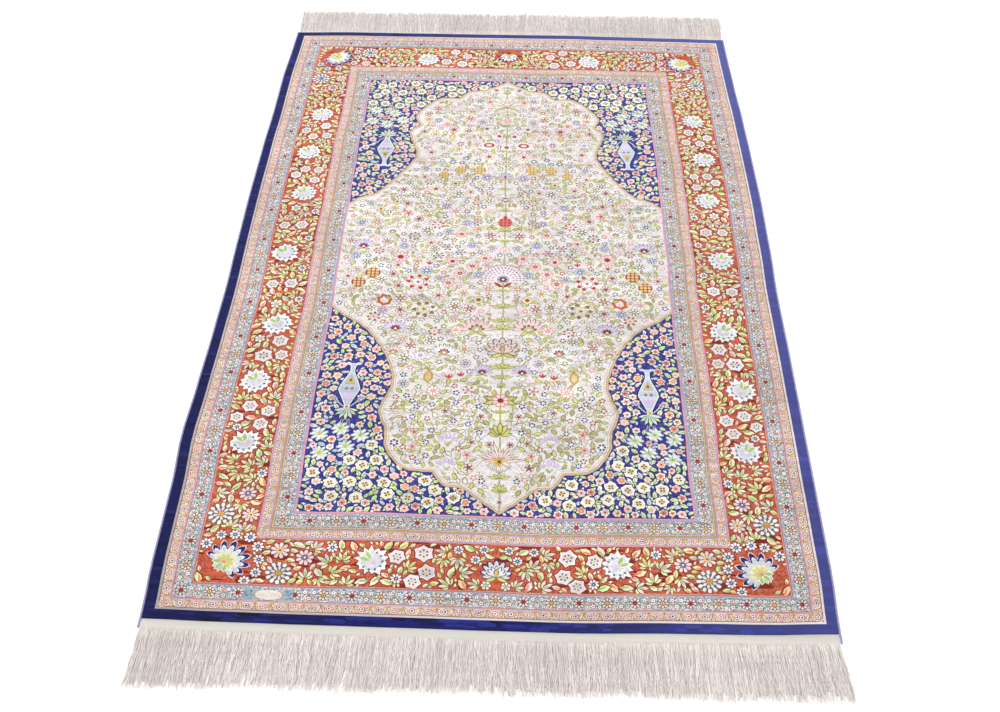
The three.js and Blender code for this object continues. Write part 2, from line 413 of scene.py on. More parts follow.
def daisy(x, y, r, petal="white", heart="teal blue", centre="white", count=8, edge="dark red"):
    """An open daisy with separate petals."""
    turn = luck.uniform(0, 0.7)
    bloom(x, y, r * 1.12, count, edge, 0.22, turn)
    petals(x, y, r, count, petal, 0.25, 0.84, turn)
    spot(x, y, 0.4 * r, heart, 7)
    if centre:
        spot(x, y, 0.15 * r, centre, 4)


def full_daisy(x, y, r, heart="gold yellow", centre="brown red"):
    """A big daisy with two rings of petals."""
    bloom(x, y, r * 1.06, 12, "vine", 0.2)
    petals(x, y, r, 12, "white", 0.5, 0.72)
    bloom(x, y, r * 0.66, 9, "vine", 0.14)
    petals(x, y, r * 0.62, 9, "pinkish", 0.3, 0.74, 0.3)
    spot(x, y, r * 0.26, "vine", 9)
    bloom(x, y, r * 0.23, 6, heart, 0.2)
    petals(x, y, r * 0.16, 4, centre, 0.1, 0.5)


def six_corner(x, y, r):
    """A six-cornered blossom."""
    turn = luck.uniform(0, 1)
    corners = turn + np.arange(12) * math.pi / 6
    star = np.where(np.arange(12) % 2, 0.78, 1.0) * r * luck.uniform(0.94, 1.05, 12)
    for grow, dye in ((1.12, "dark red"), (1.0, "white"), (0.86, "pink tint")):
        lay(np.column_stack((x + star * grow * np.cos(corners), y + star * grow * np.sin(corners))), dye)
    petals(x, y, r * 0.5, 6, "ring purple", 0.42, 0.66, turn)
    spot(x, y, r * 0.19, "leaf yellow", 6)


def leaf_spray(x, y, r, heading, petal):
    """A spray of five pale leaves round a green bud."""
    foot = turned([(-0.6 * r, 0)], x, y, heading)[0]
    for turn in (-86, 86, -44, 44, 0):
        dye = "pale green" if abs(turn) > 80 else petal
        length = r * (2.0 - abs(turn) / 130)
        edged_leaf(foot[0], foot[1], length, r * 0.8, heading + turn, dye, "dark red", -turn / 400)
    leaf(foot[0], foot[1], r * 1.3, r * 0.4, heading, "leaf green")

# %% [markdown]
# ## Palmettes and small flowers
# A palmette is an open flower seen from the side, built from fans of petals, one inside the
# other. The smallest flowers are a ring of petals on a darker one.

# %% Palmettes and small flowers


def lotus(x, y, r, heading, outer, middle, heart, line):
    """A lotus palmette: fans of petals and leaves at its foot."""
    fan(x, y, r * 1.06, 112, 9, heading, line, 0.24, 0.35)
    fan(x, y, r * 0.99, 108, 9, heading, outer, 0.34, 0.35)
    fan(x, y, r * 0.68, 84, 7, heading, line, 0.24, 0.2)
    fan(x, y, r * 0.62, 80, 7, heading, middle, 0.32, 0.2)
    leaf(x, y, r * 0.5, r * 0.34, heading, line)
    leaf(x, y, r * 0.44, r * 0.22, heading, heart)
    for side in (-132, 132):
        edged_leaf(x, y, r * 0.7, r * 0.34, heading + side, "leaf yellow", "leaf edge", -side / 500)


def small_flower(x, y, r, petal, heart="white", lobes=5):
    """A small flower: dark petals round a pale heart."""
    turn = luck.uniform(0, 1.2)
    petals(x, y, r, lobes, petal, 0.28, 0.74, turn)
    spot(x, y, r * 0.4, heart, 5)


def lined_blossom(x, y, r, line, fill, heart, lobes):
    """A pale blossom drawn with thin outlines."""
    turn = luck.uniform(0, 1)
    bloom(x, y, r, lobes, line, 0.26, turn)
    petals(x, y, r * 0.93, lobes, fill, 0.36, 0.74, turn)
    bloom(x, y, r * 0.36, 5, line, 0.3, turn)
    spot(x, y, r * 0.24, heart, 5)


# %% [markdown]
# ## Guard stripes
# A guard stripe repeats one short motif all the way round, and the weaver counts knots so that
# it turns the corner whole. Here the motif is drawn once in its own coordinates, s along the side
# and d in from the edge, and laid on each of the four sides at an even pitch.

# %% Guard stripes
SIDE_PLACES = {
    "near": lambda p: np.column_stack((p[:, 0], p[:, 1] - HALF_LENGTH)),
    "far": lambda p: np.column_stack((p[:, 0], HALF_LENGTH - p[:, 1])),
    "left": lambda p: np.column_stack((p[:, 1] - HALF_WIDTH, p[:, 0])),
    "right": lambda p: np.column_stack((HALF_WIDTH - p[:, 1], p[:, 0])),
}


def round_the_rug(zone, centre, across, along, motif):
    """Calls a motif at an even pitch on all four sides."""
    pen["zone"] = zone
    for side, place in SIDE_PLACES.items():
        count = across if side in ("near", "far") else along
        half = (HALF_WIDTH if side in ("near", "far") else HALF_LENGTH) - centre
        pitch = 2 * half / count
        pen["place"] = place
        for k in range(count + 1):
            motif(-half + k * pitch, centre, pitch, k, k == count)
    pen["place"] = None


def arch_motif(s, d, pitch, k, last):
    """Narrow guard: a small flower under an arch of two edged leaves."""
    small, tint = ("dark blue", "leaf cream") if k % 2 else ("red", "gold")
    for side in (-1, 1):
        edged_leaf(s + side * 13.6, d + 6.8, 15.0, 6.4, -90 - side * 34, tint, "brown line", side * 0.2)
        edged_leaf(s + side * 5.4, d - 6.8, 9.0, 5.0, 90 - side * 56, "white", "brown line", 0)
        spot(s + side * 10.6, d - 5.0, 1.6, small)
    spot(s, d, 5.2, "brown line", 7)
    bloom(s, d, 4.6, 5, "white", 0.3)
    spot(s, d, 2.1, small, 5)


def white_blossom(x, y, r, heart, turn):
    """A little white blossom with a dark outline."""
    spot(x, y, r, "vine", 6)
    bloom(x, y, r * 0.9, 5, "white", 0.4, turn)
    spot(x, y, r * 0.27, heart)


def rosette_motif(gold_first):
    """Wide guard: red and gold rosettes in turn, with white blossoms on thin vines between."""
    def motif(s, d, pitch, k, last):
        gold = (k % 2 == 0) == gold_first
        if not last:
            line = [(s + pitch * t, d + 9.5 * math.sin(t * math.pi * 2)) for t in np.linspace(0.08, 0.92, 6)]
            stroke(line, 1.3, "vine" if k % 2 else "brown")
            for t, dd, reach, heart in (
                (0.34, 6.0, 5.4, "teal blue"), (0.5, -6.0, 5.6, "wine"), (0.66, 6.0, 5.4, "teal blue"),
                (0.27, -7.6, 4.2, "wine"), (0.73, -7.6, 4.2, "wine"),
            ):
                white_blossom(s + t * pitch, d + dd, reach, heart, k + t)
            for t, dd, heading in (
                (0.2, 9.0, 30), (0.8, 9.0, 150), (0.5, 8.0, 80),
                (0.41, -0.5, 70), (0.6, 0.5, 110), (0.38, -11.5, 10),
            ):
                leaf(s + t * pitch, d + dd, 6.5, 3.4, heading, "sky" if dd > 5 else "salmon line")
        spot(s, d, 10.6, "vine" if not gold else "brown", 10)
        petals(s, d, 9.9, 8, "pinkish" if not gold else "cream line", 0.3, 0.76)
        spot(s, d, 4.6, "wine" if not gold else "brown", 8)
        bloom(s, d, 3.4, 5, "brown red" if not gold else "gold", 0.3)
        spot(s, d, 1.4, "dark red" if not gold else "brown")
    return motif

# %% [markdown]
# ## Four guards and an oval
# Each broad guard has a narrow one beside it. The last numbers are how often the motif comes on a
# short and on a long side. One small pale oval is laid over the near left of the outer guard.

# %% Four guards and an oval
round_the_rug("outer", 31.5, 40, 64, arch_motif)
round_the_rug("outer", 56.5, 22, 34, rosette_motif(False))
round_the_rug("inner", 181.5, 28, 52, arch_motif)
round_the_rug("inner", 211, 16, 28, rosette_motif(True))
pen["zone"] = "outer"
CARTOUCHE = (-384.5, -872.0, 25.0, 10.6)
x, y, half, tall = CARTOUCHE
for side in (-1, 1):
    end_panel = [(18, -12.5), (42, -12.5), (42, 12.5), (18, 12.5)]
    lay([(x + side * dx, y + dy) for dx, dy in end_panel], "guard teal", 0)
    for dx, dy in luck.uniform((27, -10), (41, 10), (30, 2)):
        spot(x + side * dx, y + dy, 1.7, "sky" if dx % 2 > 0.7 else "dark teal")
oval = np.arange(24) * 2 * math.pi / 24
for grow, dye in ((1.0, "brown line"), (0.94, "pale line")):
    rounded = np.abs(np.sin(oval)) ** 0.8 * np.sign(np.sin(oval))
    lay(np.column_stack((x + half * grow * np.cos(oval), y + tall * grow * rounded)), dye, 0, 0.5, 0.25)
print("guard stripes:", len(zones["outer"]), "and", len(zones["inner"]), "shapes")

# %% [markdown]
# ## Where things may go
# Large flowers stand at chosen places. The rest of the ground is filled as a weaver fills it:
# smaller and smaller things wherever there is room. Darts are thrown at the drawing, and one
# sticks only where nothing is taken yet. Both halves are drawn alike, as on the real rug.

# %% Room for motifs
taken = []


def free(x, y, reach):
    """Whether a round place is still free."""
    if not taken:
        return True
    spots = np.array(taken)
    return bool(np.all(np.hypot(spots[:, 0] - x, spots[:, 1] - y) > spots[:, 2] + reach))


def darts(box, tries, reach, allowed):
    """Free places in a box (u low, v low, u high, v high) of the right half; each is taken at once."""
    found = []
    places = luck.uniform(box[:2], box[2:], (tries, 2))
    for x, y in places[allowed(places, reach)]:
        if x > reach and free(x, y, reach):
            taken.append((x, y, reach))
            found.append((x, y, reach))
    return found


def both(motif, x, y, *values):
    """Draws a motif in both halves of the rug, or once if it stands on the axis."""
    for side in (1, -1) if abs(x) > 0.5 else (1,):
        pen["mirror"] = side
        wander = luck.normal(0, 0.6, 2) if abs(x) > 0.5 else (0, 0)
        motif(x + wander[0], y + wander[1], *values)
    pen["mirror"] = 1


def flow(x, y):
    """The heading of stems and leaves, which turns slowly over the ground."""
    return 90 + 75 * math.sin(x / 41 + math.sin(y / 57) * 1.7) + 50 * math.sin(y / 37 + x / 90)


# %% [markdown]
# ## The main border
# The broad rust border carries big daisies, six-cornered blossoms, palmettes and, in each
# corner, one large palmette. A palmette is a flower seen from the side. It is laid from its widest
# layer inwards, each a little smaller and in another dye.

# %% Main border
pen["zone"] = "border"


def pale_palmette(x, y, r, heading=235):
    """A large white palmette with a ragged edge and dark dots, and a green leaf at its foot."""
    turn = math.radians(heading)
    ragged(x, y, r * 1.24, 14, ((1.07, "dark red"), (1.0, "white")), 0.24, turn)
    ragged(x, y, r * 0.88, 9, ((1.0, "soft blue"), (0.8, "cream tint"), (0.6, "soft lilac")), 0.16, turn)
    for k in range(7):
        dot = turned([(0.62 * r, 0)], x, y, heading - 99 + 33 * k)[0]
        leaf(dot[0], dot[1], r * 0.26, r * 0.18, heading - 99 + 33 * k, "vine")
    leaf(x, y, r * 0.6, r * 0.3, heading + 20, "vase blue")
    for side in (160, 205):
        edged_leaf(x, y, r * 1.0, r * 0.5, heading + side, "leaf green", "white")
    spot(x, y, r * 0.14, "pinkish", 6)


def corner_palmette(x, y, heading):
    """The large palmette in a corner, pale inside a jagged dark blue edge."""
    fan(x, y, 50, 118, 9, heading, "white", 0.34, 0.3)
    fan(x, y, 48, 116, 9, heading, "dark blue", 0.36, 0.3)
    fan(x, y, 38, 118, 9, heading, "white", 0.34, 0.25)
    fan(x, y, 34, 120, 9, heading, "soft blue", 0.34, 0.22)
    fan(x, y, 30, 112, 7, heading, "cream tint", 0.3, 0.2)
    fan(x, y, 22, 112, 7, heading, "cream", 0.3, 0.2)
    for side in (-160, -128, 128, 160, 180):
        edged_leaf(x, y, 22, 13, heading + side, "leaf green", "white")
    fan(x, y, 18, 110, 6, heading, "leaf yellow", 0.35, 0.2)
    fan(x, y, 10, 110, 4, heading, "gold", 0.3, 0.2)
    spot(x, y, 3.4, "stem pink", 7)

# %% [markdown]
# ## Places in the border
# One half of the border is drawn and the other is its mirror image, so the table gives only the
# right half. A kind is a name for a motif with its own dyes.

# %% Places in the border
SPRAY_DYES = ("cream", "cream line", "pinkish", "leaf cream")
MOTIFS = {
    "full": full_daisy,
    "full blue": lambda x, y, r: full_daisy(x, y, r, "sky", "dark blue"),
    "pink daisy": lambda x, y, r: daisy(x, y, r, "pinkish", "gold", "wine", 9),
    "lilac daisy": lambda x, y, r: daisy(x, y, r, "pinkish", "ring purple", "white", 9),
    "blue daisy": daisy,
    "six": six_corner,
    "palmette": lambda x, y, r: pale_palmette(x, y, r, 235 if x > 0 else 305),
    "near palmette": lambda x, y, r: pale_palmette(x, y, r, -35 if x < 0 else 215),
    "spray": lambda x, y, r: leaf_spray(x, y, r, luck.uniform(0, 360), SPRAY_DYES[luck.integers(4)]),
    "small": lambda x, y, r: daisy(x, y, r, "white", "leaf green", None, 6),
    "lotus": lambda x, y, r: lotus(x, y, r, 90, "white", "white", "gold yellow", "dark blue"),
    "lotus far": lambda x, y, r: lotus(x, y, r, -90, "white", "white", "gold yellow", "dark blue"),
}
BORDER_FLOWERS = [  # distance from the axis, place along the rug, kind, size
    (374, -827, "full", 23), (375, -781, "pink daisy", 17), (331, -793, "lilac daisy", 16),
    (284, -773, "blue daisy", 10), (215, -797, "near palmette", 25), (173, -789, "six", 16),
    (126, -780, "six", 18), (118, -818, "six", 17), (142, -838, "six", 16),
    (170, -833, "blue daisy", 10), (66, -769, "blue daisy", 9), (22, -769, "blue daisy", 9),
    (37, -789, "blue daisy", 9), (66, -797, "spray", 13), (54, -816, "spray", 13),
    (38, -838, "spray", 11), (86, -839, "spray", 13), (17, -841, "small", 9), (0, -822, "lotus", 33),
    (296, -799, "spray", 14), (275, -822, "spray", 13), (326, -828, "spray", 12),
    (302, -843, "spray", 10), (254, -840, "spray", 12), (92, -798, "spray", 11),
    (414, -775, "blue daisy", 11), (410, -801, "blue daisy", 10), (412, -828, "blue daisy", 10),
    (430, -846, "blue daisy", 10), (505, -771, "blue daisy", 11), (482, -752, "blue daisy", 10),
    (458, -750, "blue daisy", 10), (430, -755, "blue daisy", 11),
    (491, -705, "full", 24), (437, -708, "pink daisy", 16), (451, -660, "lilac daisy", 16),
    (432, -612, "blue daisy", 10), (480, -620, "spray", 14), (497, -660, "spray", 13),
    (460, -590, "spray", 13), (492, -580, "spray", 12), (473, -538, "palmette", 25),
    (494, -502, "blue daisy", 9), (499, -475, "six", 14), (479, -447, "six", 16),
    (442, -460, "six", 16), (452, -491, "six", 16), (480, -380, "palmette", 26),
    (436, -420, "spray", 12), (440, -345, "spray", 13), (477, -310, "six", 20), (442, -308, "six", 15),
    (450, -268, "six", 18), (492, -262, "small", 11), (464, -218, "palmette", 26),
    (497, -200, "spray", 12), (479, -158, "small", 13), (433, -145, "blue daisy", 10),
    (495, -97, "six", 15), (456, -95, "six", 16), (437, -45, "blue daisy", 10),
    (434, 55, "blue daisy", 10), (480, 5, "palmette", 26), (494, 100, "six", 14),
    (456, 100, "six", 16), (433, 150, "blue daisy", 10), (479, 160, "small", 12),
    (467, 215, "palmette", 26), (449, 265, "six", 14), (496, 285, "six", 14), (477, 307, "six", 14),
    (446, 305, "six", 13), (479, 375, "palmette", 25), (441, 443, "six", 14), (475, 440, "six", 14),
    (451, 485, "six", 15), (496, 466, "six", 14), (468, 535, "palmette", 25), (492, 590, "spray", 12),
    (440, 600, "spray", 13), (480, 640, "spray", 12), (456, 655, "lilac daisy", 15),
    (491, 697, "full blue", 23), (439, 698, "pink daisy", 15), (378, 825, "full blue", 22),
    (380, 772, "pink daisy", 14), (332, 790, "lilac daisy", 15), (287, 767, "blue daisy", 10),
    (216, 795, "near palmette", 25), (166, 785, "six", 16), (123, 776, "six", 16),
    (146, 835, "six", 15), (112, 815, "six", 15), (0, 822, "lotus far", 30),
    (413, 772, "blue daisy", 10), (409, 800, "blue daisy", 10), (412, 827, "blue daisy", 10),
    (502, 765, "blue daisy", 10), (480, 745, "blue daisy", 10), (452, 747, "blue daisy", 10),
]
taken += [(x, y, r * (1.25 if "palm" in kind else 1.02)) for x, y, kind, r in BORDER_FLOWERS]
taken += [(465, -803, 44), (461, 797, 44)]

# %% [markdown]
# ## Leaves on the rust
# What room is left takes sprays and leaves, the largest first. The leaves are laid before the
# flowers, so that a flower covers the foot of its leaf.

# %% Fill the border


def in_border(points, reach):
    """Inside the rust border, clear of its edges."""
    inwards = np.minimum(HALF_WIDTH - np.abs(points[:, 0]), HALF_LENGTH - np.abs(points[:, 1]))
    return (inwards > ZONE_START["border"] + 0.2 + reach) & (inwards < ZONE_START["inner"] - 0.2 - reach)


def border_leaf(x, y, r, heading):
    """A cream leaf with a green half, on a short pink stem."""
    if r > 5:
        stem = [(-2.2 * r, 0.7 * r), (-0.9 * r, 0.2 * r), (0.9 * r, 0)]
        stroke(turned(stem, x, y, heading), 1.5, "stem pink")
    start = turned([(-1.65 * r, -0.15 * r)], x, y, heading)[0]
    bend = luck.uniform(-0.3, 0.3)
    dye = ("cream", "cream line", "leaf cream", "cream", "pale green")[luck.integers(5)]
    edged_leaf(start[0], start[1], 3.5 * r, 2.2 * r, heading, dye, "dark red", bend, 0.74)
    if r > 4:
        tint = "leaf green" if luck.random() < 0.55 else "stem pink"
        leaf(start[0], start[1], 2.5 * r, 0.7 * r, heading + 9, tint, bend)


border_fill = []
for box in ((0, -852, 515, -756), (418, -756, 515, 756), (0, 756, 515, 852)):
    size = (box[2] - box[0]) * (box[3] - box[1])
    for reach, rate in ((10.5, 170), (8.2, 26), (6.0, 16), (4.4, 12), (3.1, 26)):
        border_fill += darts(box, int(size / rate), reach, in_border)
for x, y, reach in border_fill:
    if reach < 9:
        both(border_leaf, x, y, reach, flow(x, y) + luck.uniform(-40, 40))
for x, y, reach in border_fill:
    if reach > 9:
        both(leaf_spray, x, y, reach * 1.15, luck.uniform(0, 360), SPRAY_DYES[luck.integers(4)])
for x, y, kind, r in BORDER_FLOWERS:
    both(MOTIFS[kind], x, y, r)
both(corner_palmette, 468, -809, 135)
both(corner_palmette, 464, 802, -135)
print("main border:", len(BORDER_FLOWERS), "chosen and", len(border_fill), "filled places,",
      len(zones["border"]), "shapes")

# %% [markdown]
# ## The field's lobed outline
# The ivory field has the outline of a double niche. A few turning points and cusps per half give
# it, and a smooth line runs through them between the cusps. Several lines beside each other make
# its gold band.

# %% Field outline
FIELD_U, FIELD_V = HALF_WIDTH - ZONE_START["field"], HALF_LENGTH - ZONE_START["field"]
NICHE_NEAR = [  # offset from the axis, place along the rug, cusp
    (374, -152, 1), (338, -188, 0), (290, -222, 0), (254, -270, 0), (226, -330, 0), (216, -385, 0),
    (234, -450, 0), (219, -500, 1), (214, -548, 0), (178, -594, 0), (124, -601, 1),
    (103, -631, 0), (70, -635, 1), (32, -668, 0), (0, -692, 1),
]
NICHE_FAR = [
    (0, 698, 1), (27, 677, 0), (61, 655, 1), (100, 648, 0), (123, 618, 1), (174, 615, 0),
    (215, 570, 0), (233, 530, 0), (220, 498, 1), (241, 462, 0), (219, 385, 0), (228, 345, 0),
    (262, 282, 0), (302, 226, 0), (340, 207, 0), (374, 168, 1),
]


def niche(rows):
    """The smooth line through one half of the outline, broken at its cusps."""
    line, run = [], []
    for u, v, cusp in rows:
        run.append((u, v))
        if cusp and len(run) > 1:
            line += list(curve(run, 5))[:-1]
            run = [(u, v)]
    line = np.array(line + [rows[-1][:2]])
    run = np.concatenate(([0], np.cumsum(np.linalg.norm(np.diff(line, axis=0), axis=1))))
    steps = np.linspace(0, run[-1], int(run[-1] / 7) + 1)
    even = np.column_stack([np.interp(steps, run, line[:, k]) for k in (0, 1)])
    along = np.gradient(even, axis=0)
    out = np.column_stack((along[:, 1], -along[:, 0])) / np.linalg.norm(along, axis=1)[:, None]
    fade = np.minimum(1, np.minimum(steps, run[-1] - steps) / 30)
    scallop = 1.6 * np.abs(np.sin(steps * math.pi / 28)) * fade
    return [tuple(p) for p in even + out * scallop[:, None]]


right_half = niche(NICHE_NEAR)[::-1] + niche(NICHE_FAR)[::-1]
FIELD_LINE = np.array(right_half + [(-u, v) for u, v in right_half[::-1] if abs(u) > 0.1])
print("field outline", len(FIELD_LINE), "points")

# %% [markdown]
# ## Lines beside the outline
# A line drawn at an even distance inside another one makes small loops at its cusps, and a shape
# that crosses itself can't be cut into triangles reliably. So points that come too near the
# outline are dropped first, and the loops that are left are found and cut off.

# %% Lines beside the outline


def crosses(a, b, c, d):
    """Whether each line from a to b crosses the one from c to d."""
    def side(p, q, r):
        return (q[:, 0] - p[:, 0]) * (r[:, 1] - p[:, 1]) - (q[:, 1] - p[:, 1]) * (r[:, 0] - p[:, 0])
    return (side(a, b, c) * side(a, b, d) < 0) & (side(c, d, a) * side(c, d, b) < 0)


def drawn_in(outline, distance):
    """The outline moved inwards by a distance, without the loops that this makes at a cusp."""
    before, after = outline - np.roll(outline, 1, 0), np.roll(outline, -1, 0) - outline
    before = before / np.linalg.norm(before, axis=1)[:, None]
    after = after / np.linalg.norm(after, axis=1)[:, None]
    along = before + after
    along /= np.linalg.norm(along, axis=1)[:, None] + 1e-9
    stretch = 1 / np.clip(np.sum(along * after, 1), 0.5, 1)
    moved = outline + np.column_stack((-along[:, 1], along[:, 0])) * (distance * stretch)[:, None]
    gap = np.hypot(moved[:, None, 0] - outline[:, 0], moved[:, None, 1] - outline[:, 1]).min(1)
    moved = moved[gap > 0.97 * abs(distance) - 0.01]
    keep = np.ones(len(moved), bool)
    for n in range(2, 14):
        later = np.roll(moved, -n, 0)
        for k in np.flatnonzero(crosses(moved, np.roll(moved, -1, 0), later, np.roll(later, -1, 0))):
            keep[np.arange(k + 1, k + n + 1) % len(moved)] = False
    return moved[keep]


def inside(points, outline):
    """Which points lie inside a closed outline."""
    x, y = np.asarray(points, float).T
    result = np.zeros(len(x), bool)
    for (x1, y1), (x2, y2) in zip(outline, np.roll(outline, -1, 0)):
        if y1 != y2:
            between = (y1 > y) != (y2 > y)
            result ^= between & (x < (x2 - x1) * (y - y1) / (y2 - y1) + x1)
    return result


print("gold band starts with", len(drawn_in(FIELD_LINE, 0.9)), "points")

# %% [markdown]
# ## The blue spandrels
# The four blue corners are set as densely as flowers can stand: cream and salmon flowers with
# pale leaves. Dark blue outlines part them from each other, and a little unevenness in each flower
# keeps the ground from looking printed.

# %% Spandrels
pen["zone"] = "field"
taken.clear()
GOLD_BAND = (  # distance in from the outline, dye
    (0, "brown line"), (0.9, "gold line"), (4.6, "brown line"), (5.4, "pale line"), (8.8, "line pink"),
    (9.6, "ivory"),
)


def in_spandrel(points, reach):
    """Blue ground only."""
    points = np.asarray(points)
    edge = (np.abs(points[:, 0]) < FIELD_U - reach * 0.9) & (np.abs(points[:, 1]) < FIELD_V - reach * 0.9)
    return edge & ~inside(points, drawn_in(FIELD_LINE, -0.75 * reach))


def cream_flower(x, y, r):
    """A white and cream flower with a brown heart of four parts, on a pair of pale leaves."""
    turn = luck.uniform(0, 1)
    for heading in (40 + 60 * turn, 170 + 90 * turn, 290 + 50 * turn):
        edged_leaf(x, y, r * 1.62, r * 0.8, heading, "pale green", "night blue")
    ragged(x, y, r, 7, ((1.2, "night blue"), (1.06, "white"), (0.72, "cream")), 0.16, turn)
    petals(x, y, r * 0.48, 4, "brown", 0.1, 0.72, turn)
    spot(x, y, r * 0.13, "gold yellow")


def salmon_flower(x, y, r):
    """A pale flower with a pink edge and a small warm heart, on a pale leaf."""
    turn = luck.uniform(0, 1)
    tint = ("pale green", "white", "cream")[luck.integers(3)]
    edged_leaf(x, y, r * 1.75, r * 0.85, 360 * turn, tint, "night blue")
    petal = ("white", "cream", "pinkish")[luck.integers(3)]
    ragged(x, y, r, 6, ((1.22, "night blue"), (1.06, petal)), 0.24, turn)
    bloom(x, y, r * 0.76, 5, ("salmon", "dusty pink", "pale pink", "pale pink")[luck.integers(4)], 0.42, turn)
    spot(x, y, r * 0.27, "brown red" if luck.random() < 0.7 else "gold yellow", 5)


def pale_leaf(x, y, r, heading):
    """A pale leaf with a green half and a dark outline."""
    bend = luck.uniform(-0.3, 0.3)
    if r > 4:
        start = turned([(-1.65 * r, 0)], x, y, heading)[0]
        leaf(start[0], start[1], 3.5 * r, 2.3 * r, heading, "night blue", bend)
    start = turned([(-1.4 * r, 0)], x, y, heading)[0]
    dye = ("cream", "pale green", "vase blue", "white", "pale green")[luck.integers(5)]
    leaf(start[0], start[1], 3.1 * r, 1.8 * r, heading, dye, bend)
    if r > 4:
        tint = "leaf green" if luck.random() < 0.6 else "pale olive"
        leaf(start[0], start[1], 2.0 * r, 0.6 * r, heading + 8, tint, bend)


def star_blossom(x, y, r):
    """A pale blossom with many points, deep in the corner."""
    petals(x, y, r * 1.06, 9, "night blue", 0.1, 0.95)
    petals(x, y, r, 9, "vase blue", 0.2, 0.72)
    petals(x, y, r * 0.82, 7, "white", 0.2, 0.7, 0.2)
    petals(x, y, r * 0.5, 6, "pale green", 0.2, 0.8)
    spot(x, y, r * 0.16, "pale olive", 6)

# %% [markdown]
# ## The vase
# One slender vase stands on the axis of each corner. Its outline is a short profile, the half
# width at each height, drawn three times: dark, white and blue, each a little slimmer. The same
# function draws it upright or upside down, as `up` says.

# %% Vase
VASE = [  # distance along from the cap, half width
    (0, 12), (4, 9), (8, 5), (22, 4.2), (34, 8), (48, 14), (62, 19), (72, 21), (79, 18), (96, 11),
    (110, 5.5), (117, 5), (126, 10), (134, 14),
]


def vase(x, y, up):
    """A slender vase with small handles and a spray of pale leaves at its foot."""
    along = np.array(VASE, float)
    for grow, dye in ((2.6, "night blue"), (0.4, "white"), (-1.4, "vase blue")):
        half = np.maximum(along[:, 1] + grow, 0.8)
        side = np.column_stack((half, y + up * along[:, 0]))
        other = np.column_stack((-half, y + up * along[:, 0]))[::-1]
        lay(np.vstack((side, other)) + (x, 0), dye)
    lay([(x, y + up * 32), (x + 10, y + up * 56), (x - 10, y + up * 56)], "pale olive")
    lay([(x, y + up * 36), (x + 7, y + up * 53), (x - 7, y + up * 53)], "leaf yellow")
    lay([(x, y + up * 40), (x + 4, y + up * 50), (x - 4, y + up * 50)], "red")
    for k in (-1, 0, 1):
        spot(x + k * 5.6, y + up * 56, 1.5, "dusty pink")
    for k in (-1, 1):
        bloom(x + k * 5.4, y + up * 69, 4.4, 4, "brown red", 0.3)
        spot(x + k * 5.4, y + up * 69, 1.5, "leaf yellow")
        spot(x + k * 13.6, y + up * 69, 1.9, "lilac")
    panel = [(-12, 80), (12, 80), (5, 102), (-5, 102)]
    lay([(x + dx, y + up * dy) for dx, dy in panel], "pale lilac")
    lay([(x, y + up * 106), (x + 4.5, y + up * 117), (x, y + up * 128), (x - 4.5, y + up * 117)], "gold")
    spot(x, y + up * 117, 2.2, "brown")
    for side in (-1, 1):
        edged_leaf(x + side * 4, y + up * 2, 13, 8, up * (90 - side * 96), "vase blue", "white")
        for wide, dye in ((5.4, "night blue"), (2.8, "vase blue")):
            handle = [(x + side * dx, y + up * dy) for dx, dy in ((7, 116), (18, 104), (24, 92), (32, 98))]
            stroke(curve(handle, 3), wide, dye, 0.6)
    for turn in (-78, -52, -26, 0, 26, 52, 78):
        leaf(x, y + up * 122, 33 - abs(turn) * 0.08, 12, up * 90 + turn, "night blue")
        tint = "vase blue" if turn % 52 else "pale green"
        leaf(x, y + up * 122, 30 - abs(turn) * 0.08, 8, up * 90 + turn, tint)
    for k in (-2, -1, 1, 2):
        stroke([(x + k * 3.5, y + up * 148), (x + k * 5, y + up * 168)], 2.2, "cream")

# %% [markdown]
# ## Corners and gold band
# Room is kept for the vases and for a group of pale stars, and flowers and leaves fill the rest.
# The band round the field is laid over them at the end, so that nothing hangs over its edge. It
# is a nest of whole shapes, the last of which is the ivory ground.

# %% Fill the corners
VASE_ROOM = ((334, 13), (362, 10), (384, 18), (402, 22), (424, 17), (444, 14), (466, 22))
STARS = ((338, 512), (300, 500), (262, 516), (332, 560), (286, 545))
taken += [(294, side * v, r) for side in (-1, 1) for v, r in VASE_ROOM]
star_places = [(x, side * y, 16) for side in (-1, 1) for x, y in STARS]
taken += star_places
spandrel_fill = []
for side in (-1, 1):
    for low, high, sizes in (
        (150, 505, ((9.6, 260), (8.2, 900), (6.0, 900), (4.6, 3500), (3.0, 2200))),
        (505, FIELD_V, ((13.4, 140), (9.0, 420), (7.4, 500), (5.6, 1800), (4.3, 3500), (3.0, 2200))),
    ):
        box = (0, min(side * low, side * high), FIELD_U, max(side * low, side * high))
        for reach, tries in sizes:
            spandrel_fill += darts(box, tries, reach, in_spandrel)
for x, y, reach in spandrel_fill:
    if reach < 7:
        both(pale_leaf, x, y, reach, flow(x, y) + luck.uniform(-50, 50))
for x, y, reach in star_places:
    both(star_blossom, x, y, 18)
for x, y, reach in spandrel_fill:
    if reach > 12:
        both(cream_flower, x, y, 13.4)
    elif reach > 7:
        both(salmon_flower, x, y, reach * 1.04)
for side in (-1, 1):
    both(vase, 294 if side < 0 else 291, side * 328, side)
for distance, dye in GOLD_BAND:
    lay(drawn_in(FIELD_LINE, distance), dye, 0, 0, 0.42 if dye == "ivory" else 0.15)
print("spandrels:", len(spandrel_fill), "places a half,", len(zones["field"]), "shapes so far")

# %% [markdown]
# ## The flowered field
# From the near point a slender tree grows up the axis, with leaf cups and tufts on its trunk. Each
# is a bunch of outlined leaves at several headings, the outer ones shorter and bent.

# %% Tree motifs
taken.clear()


